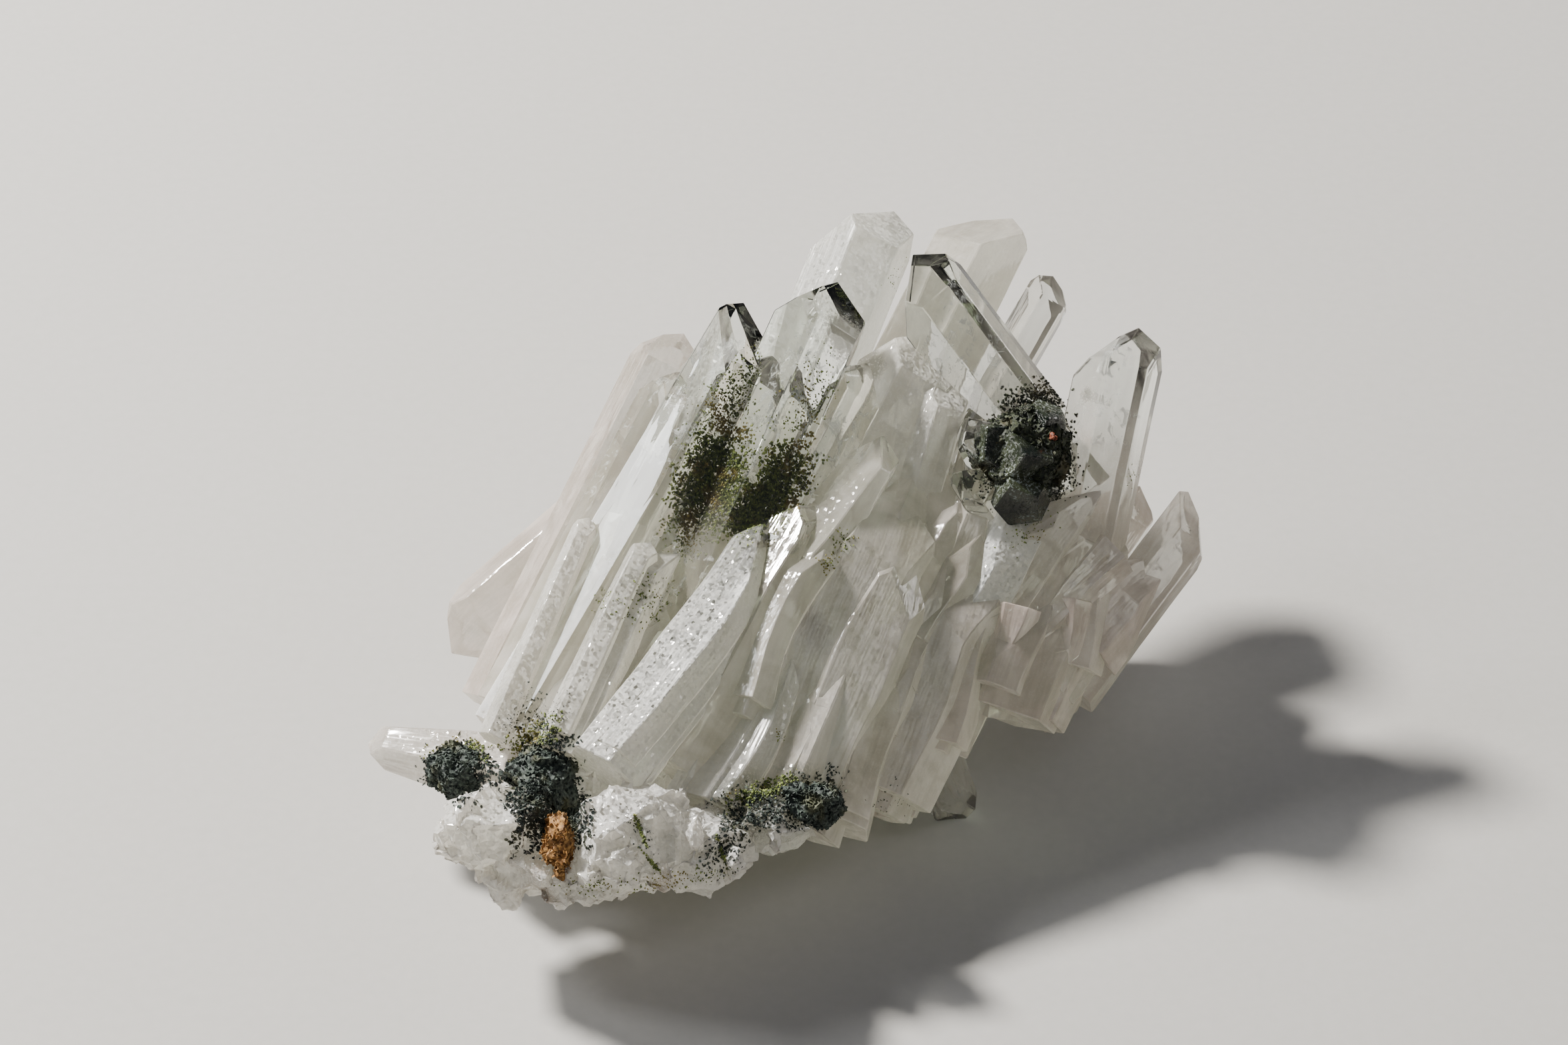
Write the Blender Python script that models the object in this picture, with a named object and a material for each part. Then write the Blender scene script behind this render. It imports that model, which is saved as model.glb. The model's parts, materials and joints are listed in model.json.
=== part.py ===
"""A cluster of clear and milky quartz crystals, grown together side by side, with tufts of green chlorite.

The cluster lies as a collector would set it down: its broken root reaches forward, a little clear of the
ground, and the crystals lean back over the ones that carry them.

Crystals are laid out in the cluster's own frame, in millimetres: across (to the right), up (along the broad
front of the cluster) and out (towards whoever looks at that front). One empty, laid_back, tips that frame
back onto the ground.
"""

import math
import random
from typing import NamedTuple

import bmesh
import bpy
from mathutils import Matrix, Vector, noise

MM = 0.001

# How the cluster lies
FRONT_SLOPE = math.radians(52)  # how far the broad front is raised from the ground
FRAME_CENTRE = Vector((-0.57, -1.43, 27.0)) * MM  # the cluster frame's own origin, above the ground
GROUND_SIZE = 0.4

# Quartz's own angles
SIDES = 6
SIDE_TURN = math.radians(360 / SIDES)
HALF_TURN = SIDE_TURN / 2
POINT_FACE_TILT = math.radians(51.8)  # between a crystal's axis and the normal of a face of its point
SMALL_FACE = 0.16  # the three lesser faces of a point stand out by this share of the crystal's width
THINNEST_END = 0.1  # of its root's width, for a crystal that tapers
FACING_OUT = 0.9  # a crystal that points out of the front more than this is set upright instead

# Broken chunks: a ball, and how near its centre the chips cut, in radii
BALL = 1.25
CHIPS = 16
CHIP_NEAR, CHIP_FAR = 0.86, 1.04
CHIP_WANDER = 0.3
GOLDEN_TURN = math.pi * (3 - math.sqrt(5))

# Chlorite: its knobs per radius and how far they stand out, and the step from one tuft's noise to the next
KNOBS = ((2.2, 0.22), (5.5, 0.1))
TUFT_STEP = Vector((3.7, 1.9, 0))
GAP = 0.35  # between the chlorite and the quartz that it grew on

WELD = 0.002 * MM  # points nearer than this are one


class Crystal(NamedTuple):
    root: tuple
    tip: tuple
    width: float
    depth: float
    turn: float = 10.0  # about its own axis, in degrees
    taper: float = 1.0  # width at the tip as a share of the width at the root
    lean: tuple = (0.0, 0.0)  # how far the point sits off the axis (right, back), in widths


class Lump(NamedTuple):
    centre: tuple
    radii: tuple


class Finish(NamedTuple):
    color: tuple
    roughness: float
    transmission: float = 0.0
    ior: float = 1.5


QUARTZ = Finish((0.86, 0.87, 0.84), 0.05, 0.85, 1.544)
CHLORITE = Finish((0.05, 0.075, 0.04), 0.8)
IRON_STAIN = Finish((0.35, 0.17, 0.04), 0.85)

CRYSTALS = {
    # The clear pair that holds the moss, and the short crystals that step down from it
    "moss_left": Crystal((-22.9, -19.6, 4.0), (-2.8, 19.3, -4.0), 7.2, 6.6, lean=(0.08, 0.0)),
    "moss_right": Crystal((-12.8, -17.7, 4.5), (6.0, 21.1, -3.0), 7.6, 7.2, lean=(-0.25, 0.0)),
    "step_thin": Crystal((-25.4, -19.2, 7.0), (-17.2, 0.5, 2.0), 3.4, 4.0, turn=6, taper=0.7),
    "step_wide": Crystal((-19.9, -20.6, 8.0), (-10.9, -1.1, 1.0), 5.2, 5.0, -6, 0.9, lean=(0.1, 0.1)),
    "step_low": Crystal((-18.1, -19.4, 9.0), (-12.1, -5.8, 4.0), 3.4, 3.4, turn=12, taper=0.8),
    "grey_edge": Crystal((-18.6, -21.5, 8.0), (-7.6, -5.7, 1.0), 5.4, 5.0, turn=20, taper=0.9),
    "frosted": Crystal((-15.8, -21.9, 12.0), (-0.8, -2.3, 3.0), 7.0, 6.0, turn=26, taper=0.9),
    "frosted_low": Crystal((-10.9, -26.6, 11.0), (-3.8, -14.5, 6.0), 3.0, 3.4, turn=24, taper=0.7),
    # The blades of the milky middle
    "blade_top": Crystal((-3.9, -18.1, 6.0), (8.7, 8.0, -0.5), 6.4, 6.0, 14, 0.95, lean=(0.05, 0.0)),
    "blade_mid": Crystal((-0.7, -25.8, 8.0), (11.2, 3.8, 1.0), 7.0, 6.2, turn=-8, taper=0.9),
    "blade_right": Crystal((3.9, -26.6, 6.0), (15.4, 3.7, -1.0), 6.8, 6.2, turn=12, taper=0.9),
    "blade_low": Crystal((-6.8, -25.2, 10.0), (1.4, -9.0, 4.0), 5.0, 4.8, turn=20, taper=0.8),
    "broad_back": Crystal((-4.0, -17.2, -2.0), (13.7, 17.4, -8.0), 9.2, 7.6, turn=14),
    "glint": Crystal((6.8, -16.0, -2.0), (15.1, 13.6, -6.0), 5.8, 6.0, turn=22),
    # The crystals that stand up at the top and behind
    "crosswise": Crystal((27.4, 2.2, -8.5), (11.0, 23.9, -5.0), 8.4, 6.6, lean=(0.11, 0.0)),
    "peak": Crystal((-1.7, 2.9, -9.0), (9.2, 29.8, -18.0), 9.6, 8.0, turn=12, lean=(0.13, 0.0)),
    "peak_right": Crystal((8.8, 7.4, -14.0), (20.4, 29.8, -24.0), 10.2, 8.6, turn=-30, lean=(0.16, 0.0)),
    "peak_small": Crystal((13.6, 2.0, -13.0), (26.0, 23.1, -20.0), 4.9, 4.6, turn=14, lean=(-0.12, 0.0)),
    "left_tall": Crystal((-26.9, -16.8, -7.0), (-9.9, 17.9, -14.0), 6.2, 6.4, turn=4, lean=(0.1, 0.0)),
    "left_broad": Crystal((-11.5, 4.5, -15.0), (-31.0, -12.2, -13.0), 9.0, 7.0, turn=12, taper=0.95),
    # The right-hand group
    "right_clear": Crystal((24.8, -13.0, -5.0), (31.6, 18.2, -8.0), 7.3, 6.6, lean=(0.13, 0.0)),
    "right_end": Crystal((26.0, -15.6, -8.0), (39.3, 1.6, -12.0), 6.2, 5.6, lean=(-0.35, 0.0)),
    "right_behind": Crystal((21.2, -14.0, -12.0), (33.4, 3.5, -16.0), 6.8, 6.0, turn=24),
    "shard_pink": Crystal((13.4, -19.8, 1.0), (17.7, -1.0, -3.0), 6.2, 6.0, turn=8, taper=0.9),
    "shard_mid": Crystal((18.9, -15.4, -1.0), (23.2, -3.4, -4.0), 6.0, 6.0, turn=14),
    "shard_low": Crystal((22.4, -18.0, -5.0), (28.3, -4.6, -7.0), 6.8, 6.0, turn=0, taper=0.9),
    "shard_far": Crystal((12.5, -13.0, -1.0), (18.6, 3.2, -4.0), 5.6, 5.6, turn=4),
    "shard_end": Crystal((26.8, -8.6, -7.0), (23.6, -19.4, -6.0), 6.4, 6.0, turn=16, taper=0.8),
    "shard_down": Crystal((21.0, -7.0, -1.0), (19.4, -13.8, -0.4), 4.4, 4.2, turn=10, taper=0.5),
    "shard_down_right": Crystal((26.2, -6.6, -3.0), (24.8, -13.2, -2.2), 4.4, 4.2, turn=22, taper=0.5),
    "behind_nest": Crystal((13.0, -7.0, -5.0), (18.0, 11.6, -9.0), 8.0, 7.0, turn=20),
    "shard_grey": Crystal((8.8, -26.6, -1.0), (13.0, -8.0, -2.0), 5.6, 5.6, turn=18, taper=1.0),
    "nest": Crystal((25.0, 4.6, -10.0), (19.8, 5.6, 0.4), 8.6, 8.6, turn=12),
    "nest_frosted": Crystal((15.8, -9.6, 1.0), (24.0, 3.8, -2.0), 5.0, 5.4, turn=20),
    # Broad crystals that fill the grooves between the ones in front
    "bed_left": Crystal((-24.6, -17.4, -1.0), (-8.4, 14.0, -8.4), 7.4, 6.4, turn=16),
    "bed_moss": Crystal((-17.4, -18.6, 3.4), (0.2, 16.4, -4.2), 8.0, 5.6, turn=4),
    "bed_moss_right": Crystal((-7.4, -14.0, 0.6), (7.6, 14.6, -5.0), 7.4, 6.0, turn=22),
    "bed_step": Crystal((-20.6, -20.4, 6.4), (-10.6, -2.4, 0.0), 10.4, 5.6, turn=-4),
    "bed_frosted": Crystal((-9.6, -22.4, 7.4), (4.2, 1.6, -0.6), 9.6, 6.6, turn=18),
    "bed_middle": Crystal((-1.4, -24.6, 5.4), (10.6, 3.0, -1.8), 12.4, 7.6, turn=6),
    "bed_right": Crystal((7.6, -24.0, 1.4), (18.2, 3.4, -4.2), 11.6, 7.6, turn=-6),
    "bed_far_right": Crystal((19.4, -17.4, -3.4), (27.0, 3.2, -6.8), 10.8, 7.6, turn=10),
    "bed_top": Crystal((10.0, -6.0, -5.0), (21.4, 12.2, -9.0), 9.0, 7.0, turn=-12),
    # The leftmost crystal, which points away from the rest
    "pointing_left": Crystal((-22.4, -22.7, 3.0), (-37.7, -20.0, -2.0), 9.0, 6.6, turn=30, taper=0.3),
    # The crystals behind, on the lowest of which the cluster lies
    "foot": Crystal((11.0, -14.0, -5.0), (16.4, -27.8, -9.8), 6.0, 6.0, turn=15, taper=0.8),
    "under_left": Crystal((-14.0, -20.0, 0.0), (-26.0, -23.0, -15.0), 6.4, 6.0, turn=20),
    "back_low_left": Crystal((-12.0, -18.0, -2.0), (-19.0, -7.0, -30.0), 8.4, 7.4, turn=12),
    "back_low_mid": Crystal((-2.0, -18.0, -2.0), (2.0, -6.0, -34.0), 9.0, 8.0, turn=25),
    "back_low_right": Crystal((6.0, -16.0, -4.0), (19.0, -8.0, -29.0), 8.0, 7.2, turn=5),
    "back_right": Crystal((12.0, -12.0, -8.0), (29.0, -3.0, -25.0), 6.6, 6.0, turn=18),
    "back_mid_left": Crystal((-8.0, -12.0, -8.0), (-11.0, 4.0, -35.0), 8.0, 7.0, turn=8),
    "back_mid": Crystal((-4.0, -12.0, -8.0), (3.0, 11.0, -35.0), 9.0, 8.0, turn=28),
    "back_mid_right": Crystal((4.0, -10.0, -8.0), (16.0, 6.0, -34.0), 8.4, 7.6, turn=16),
    "back_left": Crystal((-14.0, -14.0, -4.0), (-24.0, -5.0, -27.0), 7.0, 6.4, turn=22),
    "back_top": Crystal((-8.0, -4.0, -8.0), (-4.0, 15.0, -28.0), 7.6, 7.0, turn=10),
}

LUMPS = {
    "root_left": Lump((-25.0, -26.6, 12.0), (4.6, 3.8, 6.0)),
    "root_left_end": Lump((-28.0, -28.0, 12.0), (2.6, 1.8, 3.0)),
    "root_mid": Lump((-13.2, -27.4, 14.0), (5.6, 4.8, 6.0)),
    "root_right": Lump((-7.9, -28.6, 12.0), (5.2, 3.6, 5.4)),
    "root_bottom": Lump((-22.0, -29.8, 13.0), (3.8, 2.6, 4.6)),
    "root_under": Lump((-17.0, -31.0, 13.5), (3.8, 2.0, 4.2)),
    "root_heart": Lump((-17.0, -22.5, 4.0), (7.4, 5.0, 6.0)),
    "root_low": Lump((-1.5, -26.0, 8.0), (4.8, 3.2, 5.6)),
    "milky_heart": Lump((-2.0, -12.0, -6.0), (14.0, 12.0, 10.0)),
    "right_heart": Lump((18.0, -6.0, -9.5), (11.0, 11.0, 7.0)),
}

# Tufts of chlorite, and the iron stain in the cleft of the root
CRUSTS = {
    "chlorite_left": Lump((-29.1, -22.3, 3.4), (2.8, 2.5, 2.4)),
    "chlorite_root": Lump((-21.3, -23.3, 9.6), (3.6, 3.8, 3.4)),
    "chlorite_rim": Lump((2.2, -24.6, 11.0), (3.4, 2.0, 2.6)),
    "chlorite_nest": Lump((21.6, 6.2, -1.4), (4.4, 4.4, 3.4)),
    "iron_crust": Lump((-19.3, -28.0, 15.8), (1.9, 3.2, 2.8)),
}


def mesh_object(name, bm, collection):
    """A new object that holds what the bmesh holds."""
    bmesh.ops.recalc_face_normals(bm, faces=bm.faces)
    mesh = bpy.data.meshes.new(name)
    bm.to_mesh(mesh)
    bm.free()
    obj = bpy.data.objects.new(name, mesh)
    collection.objects.link(obj)
    return obj


def slice_off(bm, point, normal):
    """Cuts away what lies beyond a plane and closes the cut with one flat face."""
    geometry = bm.verts[:] + bm.edges[:] + bm.faces[:]
    cut = bmesh.ops.bisect_plane(
        bm, geom=geometry, plane_co=point, plane_no=normal, clear_outer=True, dist=1e-7
    )
    rim = [e for e in cut["geom_cut"] if isinstance(e, bmesh.types.BMEdge)]
    if rim:
        bmesh.ops.edgeloop_fill(bm, edges=rim)


def crystal_frame(crystal):
    """Where a crystal's root lies and how its axis runs: local +Z to the tip, +Y to the back."""
    root, tip = Vector(crystal.root) * MM, Vector(crystal.tip) * MM
    axis = (tip - root).normalized()
    out = Vector((0, 0, 1))
    if abs(axis.z) > FACING_OUT:
        out = Vector((0, -1, 0))
    back = (axis * axis.dot(out) - out).normalized()
    right = back.cross(axis)
    return Matrix.Translation(root) @ Matrix((right, back, axis)).transposed().to_4x4()


def crystal_bmesh(crystal, grow=0.0):
    """A six-sided prism with a six-faced point, larger all round by grow millimetres."""
    length = (Vector(crystal.tip) - Vector(crystal.root)).length
    width = crystal.width
    reach = length + width
    half = width / 2 + grow / math.cos(HALF_TURN)
    end = half * max(1 + (crystal.taper - 1) * reach / length, THINNEST_END)
    first = HALF_TURN + math.radians(crystal.turn)
    bm = bmesh.new()
    bmesh.ops.create_cone(bm, cap_ends=True, segments=SIDES, radius1=half, radius2=end, depth=reach)
    bmesh.ops.rotate(bm, verts=bm.verts, matrix=Matrix.Rotation(first, 3, "Z"))
    bmesh.ops.scale(bm, verts=bm.verts, vec=(1, crystal.depth / width / math.cos(HALF_TURN), 1))
    bmesh.ops.translate(bm, verts=bm.verts, vec=(0, 0, reach / 2 - grow))
    point = Vector((crystal.lean[0] * width, crystal.lean[1] * width, length))
    for side in range(SIDES):
        around = first + side * SIDE_TURN
        normal = Vector((
            math.cos(around) * math.sin(POINT_FACE_TILT),
            math.sin(around) * math.sin(POINT_FACE_TILT),
            math.cos(POINT_FACE_TILT),
        ))
        stand_out = side % 2 * SMALL_FACE * width
        slice_off(bm, point + normal * (stand_out + grow), normal)
    bmesh.ops.scale(bm, verts=bm.verts, vec=(MM, MM, MM))
    return bm


def lump_bmesh(lump, seed, grow=0.0):
    """A broken chunk: a ball chipped flat all round, each chip a little nearer or further out."""
    chips = random.Random(seed)
    bm = bmesh.new()
    bmesh.ops.create_icosphere(bm, subdivisions=2, radius=BALL)
    turn = chips.uniform(0, math.tau)
    for chip in range(CHIPS):
        height = 1 - (2 * chip + 1) / CHIPS
        around = turn + chip * GOLDEN_TURN + chips.uniform(-CHIP_WANDER, CHIP_WANDER)
        flat = math.sqrt(1 - height * height)
        normal = Vector((flat * math.cos(around), flat * math.sin(around), height))
        slice_off(bm, normal * chips.uniform(CHIP_NEAR, CHIP_FAR), normal)
    bmesh.ops.scale(bm, verts=bm.verts, vec=[(r + grow) * MM for r in lump.radii])
    bmesh.ops.translate(bm, verts=bm.verts, vec=Vector(lump.centre) * MM)
    return bm


def crust_bmesh(lump, seed):
    """A knobbly tuft of tiny plates: a ball pushed in and out by noise."""
    shift = seed * TUFT_STEP
    bm = bmesh.new()
    bmesh.ops.create_icosphere(bm, subdivisions=3, radius=1)
    for vert in bm.verts:
        vert.co *= 1 + sum(height * noise.noise(vert.co * fineness + shift) for fineness, height in KNOBS)
    bmesh.ops.scale(bm, verts=bm.verts, vec=[r * MM for r in lump.radii])
    bmesh.ops.translate(bm, verts=bm.verts, vec=Vector(lump.centre) * MM)
    return bm


def hide(obj):
    obj.hide_render = True
    obj.display_type = "WIRE"


def grow_quartz(collection, parent, grow=0.0):
    """Every crystal and lump of quartz, each still a body of its own."""
    for name, crystal in CRYSTALS.items():
        obj = mesh_object(name, crystal_bmesh(crystal, grow), collection)
        obj.parent = parent
        obj.matrix_local = crystal_frame(crystal)
        hide(obj)
    for seed, (name, lump) in enumerate(LUMPS.items()):
        obj = mesh_object(name, lump_bmesh(lump, seed, grow), collection)
        obj.parent = parent
        hide(obj)


def join_with(obj, operation, operand):
    boolean = obj.modifiers.new(operation.lower(), "BOOLEAN")
    boolean.operation = operation
    boolean.solver = "EXACT"
    if isinstance(operand, bpy.types.Collection):
        boolean.operand_type = "COLLECTION"
        boolean.collection = operand
    else:
        boolean.object = operand


def keep_largest_body(obj):
    """Settles the Booleans, and drops closed pockets inside the body and crumbs cut loose from it."""
    bpy.context.view_layer.update()
    evaluated = obj.evaluated_get(bpy.context.evaluated_depsgraph_get())
    bm = bmesh.new()
    bm.from_mesh(evaluated.to_mesh())
    evaluated.to_mesh_clear()
    bmesh.ops.remove_doubles(bm, verts=bm.verts, dist=WELD)
    bmesh.ops.dissolve_degenerate(bm, dist=WELD, edges=bm.edges)
    bodies, left = [], set(bm.verts)
    while left:
        body, edge = set(), [left.pop()]
        while edge:
            vert = edge.pop()
            body.add(vert)
            for link in vert.link_edges:
                other = link.other_vert(vert)
                if other in left:
                    left.discard(other)
                    edge.append(other)
        bodies.append(body)
    largest = max(bodies, key=lambda body: math.prod(
        max(v.co[i] for v in body) - min(v.co[i] for v in body) for i in range(3)
    ))
    crumbs = [vert for body in bodies if body is not largest for vert in body]
    bmesh.ops.delete(bm, geom=crumbs, context="VERTS")
    obj.modifiers.clear()
    bm.to_mesh(obj.data)
    bm.free()


def make_material(name, finish):
    material = bpy.data.materials.new(name)
    material.use_nodes = True
    shader = material.node_tree.nodes["Principled BSDF"]
    shader.inputs["Base Color"].default_value = (*finish.color, 1)
    shader.inputs["Roughness"].default_value = finish.roughness
    shader.inputs["Transmission Weight"].default_value = finish.transmission
    shader.inputs["IOR"].default_value = finish.ior
    return material


def main():
    for obj in list(bpy.data.objects):
        bpy.data.objects.remove(obj)
    scene = bpy.context.scene.collection
    cluster = bpy.data.collections.new("himalayan_quartz")
    growth = bpy.data.collections.new("growth")
    cutters = bpy.data.collections.new("cutters")
    for collection in (cluster, growth, cutters):
        scene.children.link(collection)

    laid_back = bpy.data.objects.new("laid_back", None)
    laid_back.location = FRAME_CENTRE
    laid_back.rotation_euler = (FRONT_SLOPE, 0, 0)
    scene.objects.link(laid_back)
    grow_quartz(growth, laid_back)
    grow_quartz(cutters, laid_back, GAP)

    bm = bmesh.new()
    bmesh.ops.create_cube(bm, size=GROUND_SIZE)
    bmesh.ops.translate(bm, verts=bm.verts, vec=(0, 0, -GROUND_SIZE / 2))
    ground = mesh_object("ground", bm, scene)
    hide(ground)

    heart = growth.objects["milky_heart"]
    quartz = bpy.data.objects.new("quartz_cluster", heart.data.copy())
    quartz.matrix_world = laid_back.matrix_basis
    quartz.data.materials.append(make_material("quartz", QUARTZ))
    cluster.objects.link(quartz)
    growth.objects.unlink(heart)
    join_with(quartz, "UNION", growth)
    join_with(quartz, "DIFFERENCE", ground)
    keep_largest_body(quartz)

    green = make_material("chlorite", CHLORITE)
    ochre = make_material("iron_stain", IRON_STAIN)
    for seed, (name, lump) in enumerate(CRUSTS.items()):
        crust = mesh_object(name, crust_bmesh(lump, seed), cluster)
        crust.matrix_world = laid_back.matrix_basis
        crust.data.materials.append(ochre if name == "iron_crust" else green)
        join_with(crust, "DIFFERENCE", cutters)
        join_with(crust, "DIFFERENCE", ground)
        keep_largest_body(crust)


if __name__ == "__main__":
    main()
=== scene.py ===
import json
import math
import random
from typing import NamedTuple

import bmesh
import bpy
from mathutils import Euler, Matrix, Vector, noise
from mathutils.bvhtree import BVHTree

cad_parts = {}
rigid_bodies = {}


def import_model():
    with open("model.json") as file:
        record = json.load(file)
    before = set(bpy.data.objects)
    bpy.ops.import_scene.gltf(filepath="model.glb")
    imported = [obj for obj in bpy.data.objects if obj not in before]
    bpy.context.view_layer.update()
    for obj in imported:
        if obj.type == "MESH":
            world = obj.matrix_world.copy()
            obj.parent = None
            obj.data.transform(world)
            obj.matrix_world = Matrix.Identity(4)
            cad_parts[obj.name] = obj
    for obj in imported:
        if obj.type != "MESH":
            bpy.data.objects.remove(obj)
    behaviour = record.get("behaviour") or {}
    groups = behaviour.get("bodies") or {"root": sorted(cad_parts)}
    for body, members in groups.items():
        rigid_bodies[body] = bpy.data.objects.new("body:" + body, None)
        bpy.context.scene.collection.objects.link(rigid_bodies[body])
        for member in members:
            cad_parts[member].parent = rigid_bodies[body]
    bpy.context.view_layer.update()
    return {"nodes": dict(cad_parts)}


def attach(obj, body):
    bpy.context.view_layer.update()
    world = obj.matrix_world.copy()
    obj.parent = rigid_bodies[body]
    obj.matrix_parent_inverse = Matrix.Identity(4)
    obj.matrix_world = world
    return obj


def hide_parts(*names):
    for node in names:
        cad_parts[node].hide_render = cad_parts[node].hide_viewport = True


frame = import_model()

# A cluster of clear and milky quartz with moss-green chlorite. Crystals are laid out in the cluster's own
# frame, in millimetres: across to the right, up along its broad front, and out towards the camera.
MM = 0.001
FRONT_SLOPE = math.radians(52)
FRAME_CENTRE = Vector((-0.57, -1.43, 27.0)) * MM
LAID_BACK = Matrix.Translation(FRAME_CENTRE) @ Matrix.Rotation(FRONT_SLOPE, 4, "X")

# Crystals, in millimetres, or in widths of the crystal where it says so
POINT_FACE_TILT = math.radians(51.8)
WORN_EDGE = 0.10  # how far the edges are rounded
WORN_CORNER = 0.03  # corners closer together than this become one
UNEVEN = (0.93, 1.03)  # how far the corners stand from the axis, beside a regular crystal's
SMALL_FACES = (0.08, 0.24)  # how far out every second face of the point lies, in widths
BREAK_AROUND, BREAK_TILT = (-155, -25), (68, 80)  # in degrees: on the side towards the camera, and steep
BREAK_OUT = (0.02, 0.16)  # how far outside the point a break passes, in widths
LEAST_TAPER = 0.1  # the narrowest that a tapering crystal gets
BOW_RINGS = 9
CUT_MERGE = 1e-7
SAME_POINT = 0.002  # once all has grown together, points closer than this become one

# A step: a thinner crystal along another one, in shares of that one's width and length
STEP_ASIDE, STEP_SWING, STEP_LEAN = 0.24, 0.012, 0.15
STEP_ROOT, STEP_TIP = 0.03, (0.6, 0.93)
STEP_SHARE, STEP_DEEPER = (0.55, 0.75), 1.1

# How far each crystal's habit differs from its kind's
OWN_MILK, OWN_MILK_TIP = 0.14, 1.6
OWN_FROST, OWN_WARMTH_AND_BOARD_LIGHT = (0.7, 1.2), (0.6, 1.25)
OWN_SEEDS = 500

# Lumps of the root: balls of unit size, cut flat all round and then stretched
LUMP_BALL, LUMP_CUTS, LUMP_CUT_OUT, LUMP_SWING = 1.25, 16, (0.86, 1.04), 0.3
CHIP_SIZE, CHIP_OUT, CHIP_SEEDS = (0.8, 2.1), 0.94, 100  # out: in shares of the lump's reach

# The faces of the grown quartz
CELL, ROOT_CELL, CELL_MERGE = 1.9, 0.62, 0.01  # how finely faces are cut before they swell
SWELL_CLEAR, SWELL_MILKY, SWELL_SCALE = 0.02, 0.10, 0.16  # how far faces swell and dip
GROOVE_CLEAR, GROOVE_MILKY = 0.02, 0.16  # how deep the shallow grooves along them are
GROOVE_ACROSS, GROOVE_ALONG = 0.3, 0.04  # how quickly they change across the crystal and along it
RUGGED, RUGGED_SCALE, RUGGED_MIDDLE = 0.6, 0.34, 1.2  # how far the root's broken faces go in and out
RUGGED_FORM = (0.9, 2.1, 5, 0.9, 1.8)  # the ridged noise's H, lacunarity, octaves, offset and gain
WANDER, WANDER_SCALE, WANDER_STARTS = 1.5, 0.10, (3.0, 17.0)  # how far the edges wander from straight lines
WANDERING = ((2.0, -10.0, 17.0), (21.0, -9.0, 12.0))  # where: across, up, and how far around that place
ON_THE_FLOOR = 0.1  # below this height the faces keep still, as the cluster rests there
GROUND_SIZE = 0.4  # metres
SHARP = math.radians(16)

# Quartz as glass, and the clear place in it with the moss
QUARTZ_IOR = 1.544
MOSS_WINDOW, MOSS_WINDOW_REACH = (1115, 700), 15.0

# Grains, by the share of a patch's length and width, and of the size that its row gives
SPREAD = 0.42
CLUMP_SCALES, CLUMP_START = (0.05, 0.14), 9  # a coarse and a fine noise over the picture
RAGGED_RIM = (0.9, 0.75)  # how soon a patch thins out towards its rim
GRAIN_SIZE, GRAIN_GIRTH, GRAIN_FLATNESS = (0.6, 1.3), (0.7, 1.2), 0.6

# Tufts: knobs on the solid's faces, and small plates that stand out of them
NODE_MERGE = 0.001
KNOB_SCALES, KNOB_HEIGHT, KNOB_MIDDLE = (520, 1400), 0.75, 0.3  # a coarse and a fine noise
PLATE_SIZE, PLATE_SIZES, PLATE_SPREAD, PLATE_FLATNESS, PLATE_OUT = 0.20, (0.5, 1.2), 0.6, 0.4, 0.3

CAMERA_OUT = 392.2  # from the cluster frame's origin
LENS, SENSOR = 100.0, 36.0
PHOTO_WIDTH, PHOTO_HEIGHT = 2353, 1568
FLOOR_HALF = 6.0  # metres


# The camera, the floor and the light

def set_camera():
    data = bpy.data.cameras.new("camera")
    data.lens, data.sensor_width = LENS, SENSOR
    data.clip_start, data.clip_end = 0.01, 10
    camera = bpy.data.objects.new("camera", data)
    camera.matrix_world = LAID_BACK @ Matrix.Translation((0, 0, CAMERA_OUT * MM))
    bpy.context.scene.collection.objects.link(camera)
    bpy.context.scene.camera = camera


def sight(px, py):
    """The line from the camera through a point of the picture: where it starts and its direction."""
    focal = PHOTO_WIDTH * LENS / SENSOR
    eye = LAID_BACK @ Vector((0, 0, CAMERA_OUT * MM))
    ray = Vector(((px - PHOTO_WIDTH / 2) / focal, (PHOTO_HEIGHT / 2 - py) / focal, -1))
    return eye, (LAID_BACK.to_3x3() @ ray).normalized()


def set_floor():
    bm = bmesh.new()
    bmesh.ops.create_grid(bm, x_segments=1, y_segments=1, size=FLOOR_HALF)
    floor = mesh_object("floor", bm)
    paper = Finish("studio_paper")
    place = paper.place()
    grain = paper.noise(place, 900, detail=3)
    tone = paper.mix(grain, (0.40, 0.388, 0.366, 1), (0.445, 0.43, 0.41, 1))
    paper.cover(paper.add("BsdfPrincipled", inputs={"Base Color": tone, "Roughness": 0.75}, out="BSDF"))
    floor.data.materials.append(paper.material)


def soft_light(name, place, aim, size, power, color=(1, 1, 1)):
    data = bpy.data.lights.new(name, "AREA")
    data.shape, data.size, data.energy, data.color = "DISK", size, power, color
    light = bpy.data.objects.new(name, data)
    light.location = place
    light.rotation_euler = (Vector(aim) - Vector(place)).to_track_quat("-Z", "Y").to_euler()
    bpy.context.scene.collection.objects.link(light)


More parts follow.
